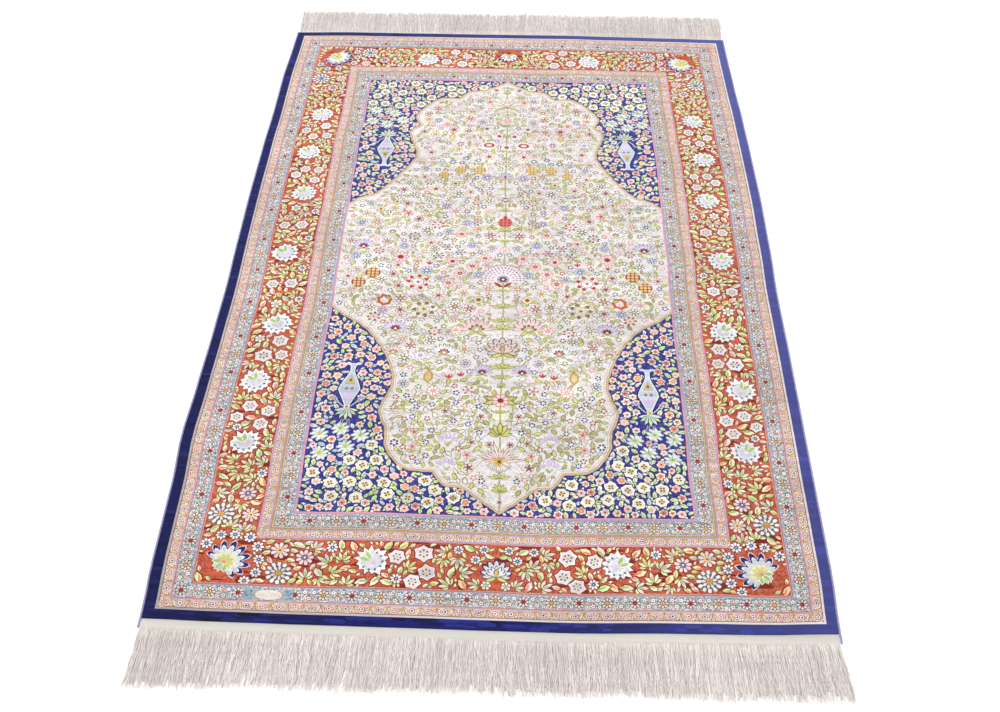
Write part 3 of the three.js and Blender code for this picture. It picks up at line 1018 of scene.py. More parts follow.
def leaf_cup(x, y, r, heading=90):
    """A flat cup of green leaves."""
    for turn in (-84, 84):
        edged_leaf(x, y, r * 1.1, r * 0.34, heading + turn, "leaf yellow", "olive", -turn / 600)
    for turn in (-50, 50, 0):
        edged_leaf(x, y, r * 0.7, r * 0.36, heading + turn, "leaf yellow", "olive")


def tree_tuft(x, y, r):
    """A full tuft of leaves on the trunk."""
    for turn in (-100, 100, -66, 66, -34, 34, 0):
        length = r * (1 - abs(turn) / 330)
        edged_leaf(x, y, length, r * 0.4, 90 + turn, "leaf yellow", "leaf edge", -turn / 300)


def pomegranate(x, y, r, skin="gold", net="brown red"):
    """A round fruit with a net of lines and a small crown."""
    for turn in (-140, -40):
        edged_leaf(x, y - r * 0.7, r * 1.1, r * 0.45, turn, "leaf yellow", "olive")
    spot(x, y, r, net, 12)
    for dx in (-0.52, 0, 0.52):
        for dy in (-0.52, 0, 0.52):
            spot(x + dx * r * 1.02, y + dy * r * 1.02, r * 0.27, skin, 4)
    leaf(x, y + r * 0.7, r * 0.8, r * 0.6, 90, skin)

# %% [markdown]
# ## Rings and eyes
# Many field flowers are seen from above: a ring of pieces round a heart, or a dark eye in a pale
# halo. One function with a few dyes as inputs serves several of them.

# %% Rings and eyes


def ring_flower(x, y, r, petal="red", heart="white", count=7):
    """A ring of dark uneven pieces round a wide heart."""
    bloom(x, y, r * 0.62, count, "soft brown", 0.2)
    bloom(x, y, r * 0.54, count, "pink tint", 0.2)
    for k in range(count):
        a = (k + luck.uniform(-0.15, 0.15)) * 2 * math.pi / count
        ragged(x + 0.84 * r * math.cos(a), y + 0.8 * r * math.sin(a), r * 0.27, 3, ((1, petal),), 0.3, a)
    petals(x, y, r * 0.42, 5, heart, 0.2, 0.7)
    spot(x, y, r * 0.16, petal, 5)


def clasp(x, y, r):
    """A ragged rust ring round a pale middle, open on one side."""
    ragged(x, y, r, 7, ((1.16, "brown line"), (1.1, "light rust"), (0.62, "white")), 0.2, 0.4)
    edged_leaf(x - r * 0.9, y + r * 0.2, r * 1.0, r * 0.7, 20, "leaf green", "olive")
    leaf(x - r * 0.1, y - r * 0.5, r * 0.7, r * 0.5, 60, "soft lilac")


def round_fan(x, y, r):
    """The wide round flower of many short lilac dashes on the trunk."""
    fan(x, y - 0.5 * r, 1.52 * r, 100, 11, 90, "soft brown", 0.14, 0.1)
    fan(x, y - 0.5 * r, 1.46 * r, 99, 11, 90, "pink tint", 0.14, 0.1)
    for reach, count in ((1.26, 21), (1.04, 18), (0.82, 15), (0.6, 9)):
        for turn in np.linspace(-88, 88, count):
            dash = turned([(reach * r * (1 - 0.1 * (turn / 100) ** 2), 0)], x, y - 0.5 * r, 90 + turn)[0]
            leaf(dash[0], dash[1], r * 0.19, r * 0.13, 90 + turn, "lilac" if count % 2 else "ring purple")
    for side in (-1, 1):
        edged_leaf(x, y - 1.1 * r, r * 0.72, r * 0.26, 90 - side * 50, "brown red", "wine")
    spot(x, y - 0.4 * r, r * 0.36, "teal blue", 9)
    spot(x, y - 0.4 * r, r * 0.31, "soft blue", 9)
    bloom(x, y - 0.4 * r, r * 0.26, 6, "wine", 0.25)
    spot(x, y - 0.4 * r, r * 0.09, "white")


def wine_eye(x, y, r):
    """A dark wine spot in a pale halo."""
    ragged(x, y, r, 7, ((1.0, "pinkish"), (0.66, "ring purple"), (0.52, "wine")), 0.2)
    spot(x, y, r * 0.14, "pale pink")


def red_eye(x, y, r):
    """A flat brown-red ring in a pink halo."""
    for grow, dye in ((1.25, "pink tint"), (1.0, "pale pink"), (0.86, "brown red"), (0.5, "pinkish")):
        a = np.arange(12) * math.pi / 6
        lay(np.column_stack((x + r * grow * np.cos(a), y + 0.72 * r * grow * np.sin(a))), dye)


def dotted_rosette(x, y, r):
    """A pale salmon rosette in a ring of wine dots."""
    layers = ((1.1, "soft brown"), (1.0, "pinkish"), (0.7, "salmon"), (0.4, "soft pink"))
    ragged(x, y, r * 0.8, 8, layers, 0.2)
    petals(x, y, r * 1.12, 10, "wine", 0.84, 0.34)

# %% [markdown]
# ## Sprays and fans
# Others are seen from the side and open upwards, as a spray of thin leaves or a fan of petals
# over a small heart, with two or three green leaves at the foot.

# %% Sprays and fans


def pale_spray(x, y, r):
    """A tall spray drawn with thin brown lines at the far end of the tree."""
    for turn in (-75, -50, -25, 0, 25, 50, 75):
        edged_leaf(x, y - 0.5 * r, r * 1.5, r * 0.3, 90 + turn, "cream tint", "soft brown", -turn / 400)
    for turn in (-110, 110):
        edged_leaf(x, y - 0.4 * r, r, r * 0.3, 90 + turn, "soft olive", "soft brown")
    ragged(x, y, r * 0.34, 6, ((1.0, "soft brown"), (0.8, "soft pink")), 0.2)


def gold_eye(x, y, r):
    """A gold-hearted flower in a dark ring, on green leaves."""
    for turn in (-150, -90, -30):
        edged_leaf(x, y, r * 1.5, r * 0.7, turn, "leaf yellow", "olive")
    ragged(x, y, r, 8, ((1.06, "vine"), (0.92, "white"), (0.66, "gold yellow")), 0.2)
    spot(x, y, r * 0.36, "brown", 7)


def hanging_vase(x, y, r):
    """A small gold vase on a thread."""
    stroke([(x, y + r), (x, y + r * 1.8)], 1.2, "brown")
    edged_leaf(x, y + r, r * 2.1, r * 1.3, -90, "gold", "gold brown")
    for side in (-40, 40):
        edged_leaf(x, y + r * 0.9, r * 0.7, r * 0.36, 90 + side, "gold yellow", "leaf edge")


def fan_flower(x, y, r, outer, heart, line):
    """A fan-shaped flower."""
    foot = y - 0.45 * r
    fan(x, foot, 1.46 * r, 92, 9, 90, line, 0.34, 0.1)
    for turn in (-80, -60, -40, -20, 0, 20, 40, 60, 80):
        leaf(x, foot, 1.4 * r, 0.36 * r, 90 + turn, outer)
    fan(x, foot, 0.72 * r, 84, 5, 90, line, 0.3, 0.1)
    bloom(x, foot + 0.1 * r, 0.42 * r, 6, heart, 0.25)
    spot(x, foot + 0.1 * r, 0.16 * r, "white")
    for side in (-126, 126):
        edged_leaf(x, foot, 0.85 * r, 0.36 * r, 90 + side, "leaf yellow", "olive")


def bells(x, y, r):
    """A spray of lilac bells."""
    for turn in (35, 65, 90, 115, 145):
        tip = turned([(r * 0.55, 0)], x, y - 0.4 * r, turn)[0]
        edged_leaf(tip[0], tip[1], r * 0.8, r * 0.5, turn, "pale lilac", "lilac")
    for turn in (60, 120):
        edged_leaf(x, y - 0.8 * r, r * 0.7, r * 0.3, turn, "leaf yellow", "olive")


def field_daisy(x, y, r):
    """The white daisy on the trunk, with a wine heart and green side leaves."""
    for turn in (-16, 16, 164, 196):
        edged_leaf(x, y, r * 2.2, r * 1.0, turn, "leaf yellow", "olive")
    daisy(x, y, r, "pinkish", "wine", "brown red", 8, "dusty pink")


def wide_lotus(x, y, r):
    """The open lotus at the foot of the tree."""
    for turn in np.linspace(-84, 84, 13):
        length = r * (1.0 + 0.22 * math.sin(turn * 0.13))
        edged_leaf(x, y, length, r * 0.17, 90 + turn, "pinkish", "brown line")
        edged_leaf(x, y, r * 0.62, r * 0.15, -90 + turn * 0.8, "white", "brown")
    leaf(x - r * 0.45, y, r * 0.9, r * 0.24, 0, "gold")
    petals(x, y, r * 0.26, 9, "gold yellow", 0.2, 0.7)
    spot(x, y, r * 0.1, "brown", 6)

# %% [markdown]
# ## Names for the field's flowers
# A name for each motif with its dyes keeps the table of places below short and readable.

# %% Field motifs by name
FIELD_MOTIFS = {
    "cup": leaf_cup,
    "tuft": tree_tuft,
    "pomegranate": pomegranate,
    "red fruit": lambda x, y, r: pomegranate(x, y, r, "red", "dusty pink"),
    "gold fruit": lambda x, y, r: pomegranate(x, y, r, "gold", "gold brown"),
    "red ring": ring_flower,
    "red clasp": lambda x, y, r: ring_flower(x, y, r, "brown red", "red", 5),
    "brown ring": lambda x, y, r: ring_flower(x, y, r, "brown red", "pale pink"),
    "green ring": lambda x, y, r: ring_flower(x, y, r, "olive", "leaf yellow"),
    "dark ring": lambda x, y, r: ring_flower(x, y, r, "dark teal", "orange", 8),
    "blue ring": lambda x, y, r: ring_flower(x, y, r, "teal blue", "red", 6),
    "hanging vase": hanging_vase,
    "lilac fan": lambda x, y, r: fan_flower(x, y, r, "soft lilac", "wine", "ring purple"),
    "round fan": round_fan,
    "gold eye": gold_eye,
    "clasp": clasp,
    "wine eye": wine_eye,
    "red eye": red_eye,
    "dotted": dotted_rosette,
    "spray": pale_spray,
    "pink fan": lambda x, y, r: fan_flower(x, y, r, "soft pink", "soft olive", "brown line"),
    "teal fan": lambda x, y, r: fan_flower(x, y, r, "white", "dusty pink", "vine"),
    "red fan": lambda x, y, r: lotus(
        x, y - r * 0.6, r * 1.5, 90, "cream line", "soft pink", "pale olive", "brown line"),
    "bells": bells,
    "field daisy": field_daisy,
    "pink daisy": lambda x, y, r: daisy(x, y, r, "pinkish", "brown red", "cream", 8, "dusty pink"),
    "red daisy": lambda x, y, r: daisy(x, y, r, "white", "salmon", "leaf cream", 8, "dusty pink"),
    "lilac daisy": lambda x, y, r: daisy(x, y, r, "white", "lilac", "gold", 10, "lilac"),
    "wine daisy": lambda x, y, r: daisy(x, y, r, "pinkish", "wine", "red", 9, "line pink"),
    "wide lotus": wide_lotus,
    "red heart": lambda x, y, r: lotus(
        x, y - r * 0.5, r * 1.3, 90, "vase blue", "pale pink", "wine", "ring purple"),
    "red petals": lambda x, y, r: fan(x, y - r * 0.5, r * 1.5, 60, 3, 90, "red", 0.5, 0.1),
    "navy": lambda x, y, r: small_flower(x, y, r, "dark blue", "white", 6),
    "pink": lambda x, y, r: lined_blossom(x, y, r * 1.15, "brown line", "pinkish", "brown red", 5),
    "brown": lambda x, y, r: small_flower(x, y, r, "brown red", "pale line"),
    "orange": lambda x, y, r: lined_blossom(x, y, r * 1.15, "dusty pink", "soft pink", "brown line", 5),
    "purple": lambda x, y, r: small_flower(x, y, r, "wine", "pale lilac", 6),
}

# %% [markdown]
# ## Places in the field
# The larger flowers stand where the drawing needs them, on the trunk or in pairs beside it. As in
# the border, only the right half is listed.

# %% Places in the field
FIELD_FLOWERS = [  # distance from the axis, place along the rug, kind, size
    (0, -272, "red fan", 28), (0, -332, "cup", 28), (0, -418, "field daisy", 16), (0, -505, "tuft", 34),
    (0, -570, "wide lotus", 44), (0, -640, "tuft", 22), (0, -664, "pink", 6), (0, -56, "round fan", 36),
    (0, -108, "cup", 16), (0, -158, "cup", 27), (0, -200, "cup", 26), (0, -222, "cup", 28),
    (0, -360, "cup", 22), (0, -382, "tuft", 14), (0, -450, "cup", 18), (0, -610, "cup", 22),
    (0, 120, "red fruit", 17), (0, 202, "purple", 9), (0, 292, "red heart", 17), (0, 407, "wine eye", 10),
    (0, 518, "dotted", 17), (0, 24, "red daisy", 11), (0, 54, "cup", 18), (0, 160, "cup", 18),
    (0, 240, "cup", 18), (0, 340, "green ring", 11), (0, 450, "tuft", 16), (0, 590, "spray", 34),
    (0, 640, "tuft", 16), (40, -338, "lilac fan", 17), (144, -358, "hanging vase", 17),
    (105, -358, "red petals", 8), (83, -352, "red petals", 8), (64, -392, "red clasp", 11),
    (131, -396, "red daisy", 13), (131, -432, "navy", 7), (85, -424, "navy", 7), (166, -466, "navy", 7),
    (88, -473, "navy", 7), (61, -480, "navy", 7), (130, -499, "navy", 7), (138, -527, "navy", 7),
    (136, -560, "navy", 7), (151, -577, "navy", 7), (37, -460, "pink", 7), (105, -448, "pink", 7),
    (137, -468, "brown", 7), (161, -503, "orange", 8), (53, -525, "pink", 7), (20, -529, "pink", 7),
    (61, -556, "orange", 8), (163, -540, "orange", 7), (56, -585, "pink", 9), (197, -533, "navy", 9),
    (97, -520, "bells", 19), (97, -580, "bells", 18), (126, 34, "blue ring", 12),
    (144, 6, "blue ring", 12), (96, 18, "blue ring", 11), (112, -12, "wine daisy", 12),
    (42, -2, "pink daisy", 12), (68, -28, "pink daisy", 13), (94, -52, "pink daisy", 13),
    (118, -82, "pink daisy", 13), (52, -134, "gold eye", 13), (182, -80, "red ring", 24),
    (250, -140, "clasp", 17), (282, -54, "pomegranate", 17), (310, -86, "pomegranate", 16),
    (227, 0, "wine daisy", 17), (310, 40, "lilac fan", 20), (220, -220, "lilac fan", 20),
    (54, -214, "pink fan", 28), (166, -164, "green ring", 24), (118, -284, "teal fan", 20),
    (18, 452, "wine eye", 9), (50, 484, "wine eye", 8), (42, 415, "red eye", 15),
    (132, 447, "hanging vase", 14), (112, 420, "purple", 9), (147, 372, "green ring", 11),
    (127, 345, "navy", 9), (97, 360, "navy", 8), (67, 353, "navy", 8), (108, 316, "gold fruit", 14),
    (62, 316, "gold fruit", 15), (146, 296, "gold fruit", 13), (118, 262, "gold eye", 10),
    (177, 268, "green ring", 12), (37, 227, "brown", 8), (65, 192, "brown ring", 12),
    (87, 160, "purple", 8), (38, 160, "red daisy", 9), (62, 122, "dark ring", 12), (132, 202, "blue ring", 9),
    (250, 192, "gold eye", 9), (285, 165, "gold eye", 9), (220, 150, "orange", 11),
    (150, 110, "brown ring", 14), (200, 70, "dark ring", 14), (95, 80, "pink daisy", 12),
    (250, 90, "teal fan", 15), (160, -20, "red petals", 8), (275, 20, "brown ring", 12),
    (220, -290, "pink fan", 16), (165, -300, "lilac daisy", 12), (95, -225, "red daisy", 12),
    (140, -230, "brown ring", 13), (270, -190, "brown ring", 14), (90, 560, "pink fan", 14),
    (150, 560, "green ring", 11), (190, 500, "brown ring", 11), (95, 610, "brown", 9),
    (45, 600, "orange", 9), (190, 420, "lilac daisy", 12), (200, 345, "pink fan", 13),
    (30, 655, "pink", 7), (150, 500, "pink daisy", 11), (55, 540, "lilac daisy", 11),
]
taken += [(x, y, r * 0.98) for x, y, kind, r in FIELD_FLOWERS]

# %% [markdown]
# ## Leaves and blossoms on the ivory
# Small outlined leaves and blossoms fill the ground between the larger flowers. The drawing is
# finest at the near end, so the fill is smaller and darker there.

# %% Leaves and blossoms


def in_field(points, reach):
    """Ivory ground only."""
    points = np.asarray(points)
    return inside(points, drawn_in(FIELD_LINE, 10.6 + reach)) & (np.abs(points[:, 0]) < FIELD_U - reach - 0.5)


def field_leaf(x, y, r, heading):
    """An outlined leaf on a thin stem."""
    if r > 4.4:
        stroke(turned([(-3.2 * r, 1.0 * r), (-1.9 * r, 0.3 * r), (0, 0)], x, y, heading), 1.0, "stem olive")
    start = turned([(-1.4 * r, 0)], x, y, heading)[0]
    dye = ("leaf yellow", "leaf yellow", "pale olive", "soft olive", "cream tint", "ivory")[luck.integers(6)]
    line = ("olive", "leaf edge", "brown line", "olive")[luck.integers(4)]
    edged_leaf(start[0], start[1], 2.9 * r, 1.8 * r, heading, dye, line, luck.uniform(-0.25, 0.25), 0.74)


BLOSSOMS = [  # outline, petals, heart, lobes
    ("soft brown", "pinkish", "leaf cream", 8), ("line pink", "ivory", "soft olive", 6),
    ("ring purple", "ivory", "gold", 9), ("ring purple", "soft lilac", "white", 8),
    ("olive", "ivory", "cream", 7), ("soft brown", "ivory", "soft olive", 8),
    ("brown line", "pinkish", "gold", 6), ("brown line", "pinkish", "brown red", 8),
    ("vine", "ivory", "soft blue", 9), ("soft brown", "cream", "salmon", 7),
    ("ring purple", "soft blue", "white", 8), ("line pink", "cream tint", "wine", 7),
    ("brown line", "ivory", "gold yellow", 8), ("vine", "cream tint", "cream", 7),
]
NEAR_SMALL = [("dusty pink", "white"), ("brown red", "cream"), ("dark blue", "white"), ("dark blue", "white")]
SMALL = [("soft brown", "ivory"), ("brown red", "pinkish"), ("dark blue", "white"), ("ring purple", "white"),
         ("olive", "cream"), ("brown line", "pinkish"), ("dark teal", "white"), ("dusty pink", "ivory")]

# %% [markdown]
# ## Drawing the field
# From the back forwards: faint tints in the ivory, the branches and curls, the trunk, the fill
# from the largest leaves down, and the chosen flowers on top. Stems that are laid first pass
# behind the flowers without being cut.

# %% Draw the field
for x, y in luck.uniform((0, -FIELD_V), (FIELD_U, FIELD_V), (420, 2)):
    r = luck.uniform(8, 20)
    if in_field(np.array([(x, y)]), r)[0]:
        both(bloom, x, y, r, 3, ("cream tint", "pink tint", "green tint", "ivory")[luck.integers(4)], 0.2, r)
trunk = [(0, v) for v in np.arange(-686, 690, 23.0)]
for k in range(13):
    v = -600 + 96 * k
    reach = 1.0 if -560 < v < 520 else 0.5
    for bow in (1, -1):
        branch = [
            (0, v), (48 * reach, v + 34), (112 * reach, v + 20 + 24 * bow),
            (176 * reach, v + 52 * bow + 30), (226 * reach, v + 20),
        ]
        both(lambda x, y: stroke(curve(branch, 4) + (x, y), 1.3, "stem olive", 0.3), 0.6, 0)
for x, y in luck.uniform((4, -FIELD_V), (FIELD_U - 20, FIELD_V), (270, 2)):
    if in_field(np.array([(x, y)]), 14)[0]:
        heading = flow(x, y) + luck.uniform(-50, 50)
        curl = turned([(-15, 0), (-6, 4), (4, 3), (12, -4), (14, -10)], x, y, heading)
        dye = ("vine", "olive", "brown line", "ring purple")[luck.integers(4)]
        both(lambda x, y: stroke(curl + (x, y), 1.1, dye, 0.3), 0.6, 0)
stroke(trunk, 3.0, "olive", 1)
stroke(trunk, 1.2, "leaf yellow", 1)
NEAR_END = -395
field_fill = []
NEAR_SIZES = ((7.0, 110), (6.0, 700), (4.8, 4000), (3.4, 2500))
SIZES = ((14.0, 160), (11.4, 420), (9.0, 900), (7.0, 420), (5.9, 1200), (4.7, 5000), (3.5, 2200))
for low, high, sizes in ((-FIELD_V, NEAR_END, NEAR_SIZES), (NEAR_END, FIELD_V, SIZES)):
    for reach, tries in sizes:
        field_fill += darts((0, low, FIELD_U, high), tries, reach, in_field)
for x, y, reach in field_fill:
    if reach < 6.8:
        both(field_leaf, x, y, reach * 1.08, flow(x, y) + luck.uniform(-60, 60))
for x, y, reach in field_fill:
    if reach > 9:
        both(lined_blossom, x, y, reach * 1.06, *BLOSSOMS[luck.integers(len(BLOSSOMS))])
    elif reach > 6.8:
        choice = NEAR_SMALL if y < NEAR_END else SMALL
        both(small_flower, x, y, 7.2, *choice[luck.integers(len(choice))])
for x, y, kind, r in FIELD_FLOWERS:
    both(FIELD_MOTIFS[kind], x, y, r)
print("field:", len(FIELD_FLOWERS), "chosen and", len(field_fill), "filled places,",
      len(zones["field"]), "shapes")

# %% [markdown]
# ## Weaving the pile
# `weave` takes one zone of the drawing and makes a closed slab of it. Blender's constrained
# triangulation merges all outlines into one skin and says which shapes cover each triangle; the
# last one laid wins. Walls and an underside close the slab, and the outermost knots lean down.
# The dye is stored on the face corners, with the fleck of the ground as its fourth number; on the
# blue edge it also holds painted shade and painted sheen.

# %% Weave


def closed_piece(name, verts, faces):
    """A mesh object from points in metres and faces, riding on the rug."""
    mesh = bpy.data.meshes.new(name)
    mesh.from_pydata(np.asarray(verts).tolist(), [], faces)
    mesh.update()
    piece = bpy.data.objects.new(name, mesh)
    scene.collection.objects.link(piece)
    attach(piece, "root")
    return piece


def skin_of(zone, ground):
    """The drawing of a zone inside an outline: points, triangles and the dye of each triangle."""
    low, high = ground.min(0), ground.max(0)
    here = [s for s in zones[zone] if (s[1] < high).all() and (s[2] > low).all()]
    shapes = [ground] + [s[0] for s in here]
    colours = np.array([(0, 0, 0, 0)] + [s[3] for s in here])
    ends = np.cumsum([0] + [len(s) for s in shapes])
    lists = [list(range(a, b)) for a, b in zip(ends[:-1], ends[1:])]
    flat = [Vector(p) for p in np.vstack(shapes)]
    points, _, triangles, _, _, owners = delaunay_2d_cdt(flat, [], lists, 1, 1e-3, True)
    top = np.array([max(o) if 0 in o else 0 for o in owners])
    used, faces = np.unique(np.array(triangles)[top > 0], return_inverse=True)
    return np.array(points)[used], faces.reshape(-1, 3), colours[top[top > 0]]


def rim_of(faces):
    """The outline of a skin as one loop of points, and the face beside each of its edges."""
    start, end = faces.ravel(), np.roll(faces, -1, 1).ravel()
    count = faces.max() + 1
    alone = ~np.isin(start * count + end, end * count + start)
    face_of = (np.flatnonzero(alone) // 3).tolist()
    following = dict(zip(start[alone].tolist(), zip(end[alone].tolist(), face_of)))
    first = at = next(iter(following))
    loop, beside = [], []
    while not loop or at != first:
        loop.append(at)
        at, face = following[at]
        beside.append(face)
    return loop, beside

# %% [markdown]
# ## One slab of pile
# The skin becomes the top of a closed slab. Painted shade darkens the blue edge towards the near
# left, and painted sheen pales it towards the right and the far end. The wall under each rim edge
# takes the dye of the face beside it, as cut silk is dyed all through.

# %% Weave one piece
pile_pieces = []


def weave(name, zone, outline, bottom=FOUNDATION_TOP - 0.1):
    """One closed slab of pile, cut from the drawing of a zone along an outline."""
    nominal, faces, dye = skin_of(zone, stepped(outline))
    if zone == "edge":
        middle = nominal[faces].mean(1)
        # Painted shade: darker towards the near left. Painted sheen: mixed towards a paler blue towards the
        # right and the far end.
        painted_sheen_and_shade = 0.1 + 0.4 * middle[:, 0] / HALF_WIDTH + 0.14 * middle[:, 1] / HALF_LENGTH
        dye[:, :3] *= (1 + 1.2 * np.clip(painted_sheen_and_shade, -0.4, 0))[:, None]
        painted_sheen_and_shade = (np.clip(painted_sheen_and_shade, 0, 0.6) * (dye[:, 2] > 2 * dye[:, 0]))[:, None]
        dye[:, :3] = dye[:, :3] * (1 - painted_sheen_and_shade) + linear("painted sheen blue") * painted_sheen_and_shade
    loop, beside = rim_of(faces)
    place = on_cloth(nominal)
    inwards = np.minimum(HALF_WIDTH - np.abs(nominal[:, 0]), HALF_LENGTH - np.abs(nominal[:, 1]))
    height = np.where(inwards < 0.2, PILE_TOP - 0.7, PILE_TOP)
    count = len(place)
    below = {v: count + k for k, v in enumerate(loop)}
    verts = np.column_stack((place, height / 1000))
    verts = np.vstack((verts, np.column_stack((place[loop], np.full(len(loop), bottom / 1000)))))
    walls = [(below[a], below[b], b, a) for a, b in zip(loop, loop[1:] + loop[:1])]
    cap = [tuple(count + k for k in t) for t in tessellate_polygon([[Vector((*place[i], 0)) for i in loop]])]
    first = verts[list(cap[0])]
    if np.cross(first[1] - first[0], first[2] - first[0])[2] > 0:
        cap = [t[::-1] for t in cap]
    piece = closed_piece(name, verts, faces.tolist() + walls + cap)
    under = np.tile((*linear("cream line"), 0), (len(cap) * 3, 1))
    paint = np.vstack((np.repeat(dye, 3, 0), np.repeat(dye[beside], 4, 0), under))
    # On the blue edge the dye also holds painted shade and painted sheen.
    attribute = piece.data.color_attributes.new("dye", "FLOAT_COLOR", "CORNER")
    attribute.data.foreach_set("color", paint.ravel())
    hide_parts("knotted_cloth")
    pile_pieces.append(piece)
    print(name, len(faces) + 2 * len(walls) + len(cap), "triangles")
    return piece

# %% [markdown]
# ## Rings and field
# Each ring of border is woven in four mitred pieces and the field in four lengths, so that no
# mesh grows too heavy. The cuts are straight and the drawing runs on across them.

# %% Weave the whole pile


def four_sides(name, zone, near, far):
    """Weaves a border between two distances from the edge as four pieces, mitred at the corners."""
    outer, inner = ring_of(near), ring_of(far)
    for k, side in enumerate(("near", "right", "far", "left")):
        n = (k + 1) % 4
        weave(f"{name}_{side}", zone, [outer[k], outer[n], inner[n], inner[k]])


RINGS = ("pile_edge_band", "pile_outer_guards", "pile_main_border", "pile_inner_guards")
starts = list(ZONE_START.values())
for name, zone, near, far in zip(RINGS, ZONE_START, starts, starts[1:]):
    four_sides(name, zone, near, far)
cuts = [-FIELD_V, -380, 0, 380, FIELD_V]
for k, part in enumerate(("near", "near_middle", "far_middle", "far")):
    weave(f"pile_field_{part}", "field", [
        (-FIELD_U, cuts[k]), (FIELD_U, cuts[k]), (FIELD_U, cuts[k + 1]), (-FIELD_U, cuts[k + 1]),
    ])

# %% [markdown]
# ## The foundation
# Under the pile lies the woven foundation, which shows at both ends as a narrow flat-woven band.
# It is one thin sheet of cloth, built as one closed slab with the size it was woven to.

# %% Foundation
FLAT_WEAVE = {-1: 17.5, 1: 6.0}


def foundation():
    """The woven sheet with both flat-woven ends, as one closed slab."""
    outline = stepped([
        (-HALF_WIDTH, -HALF_LENGTH - FLAT_WEAVE[-1]), (HALF_WIDTH, -HALF_LENGTH - FLAT_WEAVE[-1]),
        (HALF_WIDTH, HALF_LENGTH + FLAT_WEAVE[1]), (-HALF_WIDTH, HALF_LENGTH + FLAT_WEAVE[1]),
    ])
    outline[:, 0] *= np.where(np.abs(outline[:, 1]) > HALF_LENGTH, 0.9985, 0.9992)
    place = on_cloth(outline)
    count = len(place)
    levels = [(0.0, 0.9994), (0.3, 1.0), (FOUNDATION_TOP - 0.3, 1.0), (FOUNDATION_TOP, 0.9994)]
    verts = np.vstack([np.column_stack((place * scale, np.full(count, z / 1000))) for z, scale in levels])
    faces = []
    for level in range(3):
        for k in range(count):
            a, b = level * count + k, level * count + (k + 1) % count
            faces.append((a, b, b + count, a + count))
    cap = tessellate_polygon([[Vector((*p, 0)) for p in place]])
    a, b, c = (place[i] for i in cap[0])
    upwards = (b[0] - a[0]) * (c[1] - a[1]) - (b[1] - a[1]) * (c[0] - a[0]) > 0
    cap = cap if upwards else [t[::-1] for t in cap]
    faces += [tuple(3 * count + k for k in t) for t in cap]
    faces += [tuple(t[::-1]) for t in cap]
    return closed_piece("woven_foundation", verts, faces)


cloth = foundation()
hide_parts("knotted_cloth")
print("foundation", len(cloth.data.polygons), "faces")

# %% [markdown]
# ## The wrapped side edges
# Each long side is overcast: a silk thread is wound round the outermost warps, turn beside turn.
# One turn is a small rounded ring, and hundreds of them follow the edge of the cloth.

# %% Side edges
TURN_PITCH = 2.7
CORD_SIDES = 6


def wrapped_edge(name, side, node):
    """A flat oval cord of thread turns along one side of the rug."""
    low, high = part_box(node)
    turns = int((high.y - low.y) * 1000 / TURN_PITCH)
    stations = np.linspace(low.y * 1000, high.y * 1000, turns * 2 + 1)
    v = np.clip(stations / 0.999, -HALF_LENGTH, HALF_LENGTH)
    inner = np.abs(on_cloth(np.column_stack((np.full(len(v), side * HALF_WIDTH), v)))[:, 0]) * 1000 + 0.25
    angles = np.linspace(0, 2 * math.pi, CORD_SIDES + 1)[:-1]
    rings = []
    for k, (y, x) in enumerate(zip(stations, inner)):
        swell = 1.0 if k % 2 else 0.84
        across = x + 2.2 + 2.15 * swell * np.cos(angles)
        height = 1.5 + 1.5 * swell * np.sin(angles)
        rings.append(np.column_stack((side * across, y + 0.5 * np.cos(angles), np.maximum(height, 0))))
    verts = np.vstack(rings) / 1000
    faces = []
    for k in range(len(rings) - 1):
        for j in range(CORD_SIDES):
            a, b = k * CORD_SIDES + j, k * CORD_SIDES + (j + 1) % CORD_SIDES
            quad = (a, b, b + CORD_SIDES, a + CORD_SIDES)
            faces.append(quad[::-1] if side > 0 else quad)
    first, last = tuple(range(CORD_SIDES)), tuple(range(len(verts) - CORD_SIDES, len(verts)))
    faces += [first, last[::-1]] if side > 0 else [first[::-1], last]
    piece = closed_piece(name, verts, faces)
    piece.data.shade_smooth()
    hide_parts(node)
    print(name, turns, "turns", 2 * len(faces), "triangles")
    return piece


edges = [
    wrapped_edge("wrapped_edge_left", -1, "selvedge_left"),
    wrapped_edge("wrapped_edge_right", 1, "selvedge_right"),
]

# %% [markdown]
# ## The fringe
# The warp ends hang on as a long silk fringe. Its strands lie in loose clumps, cross their
# neighbours and end unevenly. Each strand is a bent three-sided thread; some wide flat ones lie
# low and fill the gaps, as the lower warps do, and are painted darker as shade under the strands.

# %% Fringe
STRANDS = 1440
UNDER_LOCKS = 240
STRAND_POINTS = 6
FRINGE_TIPS = {-1: 1049, 1: 1043}
LONGEST = 1056


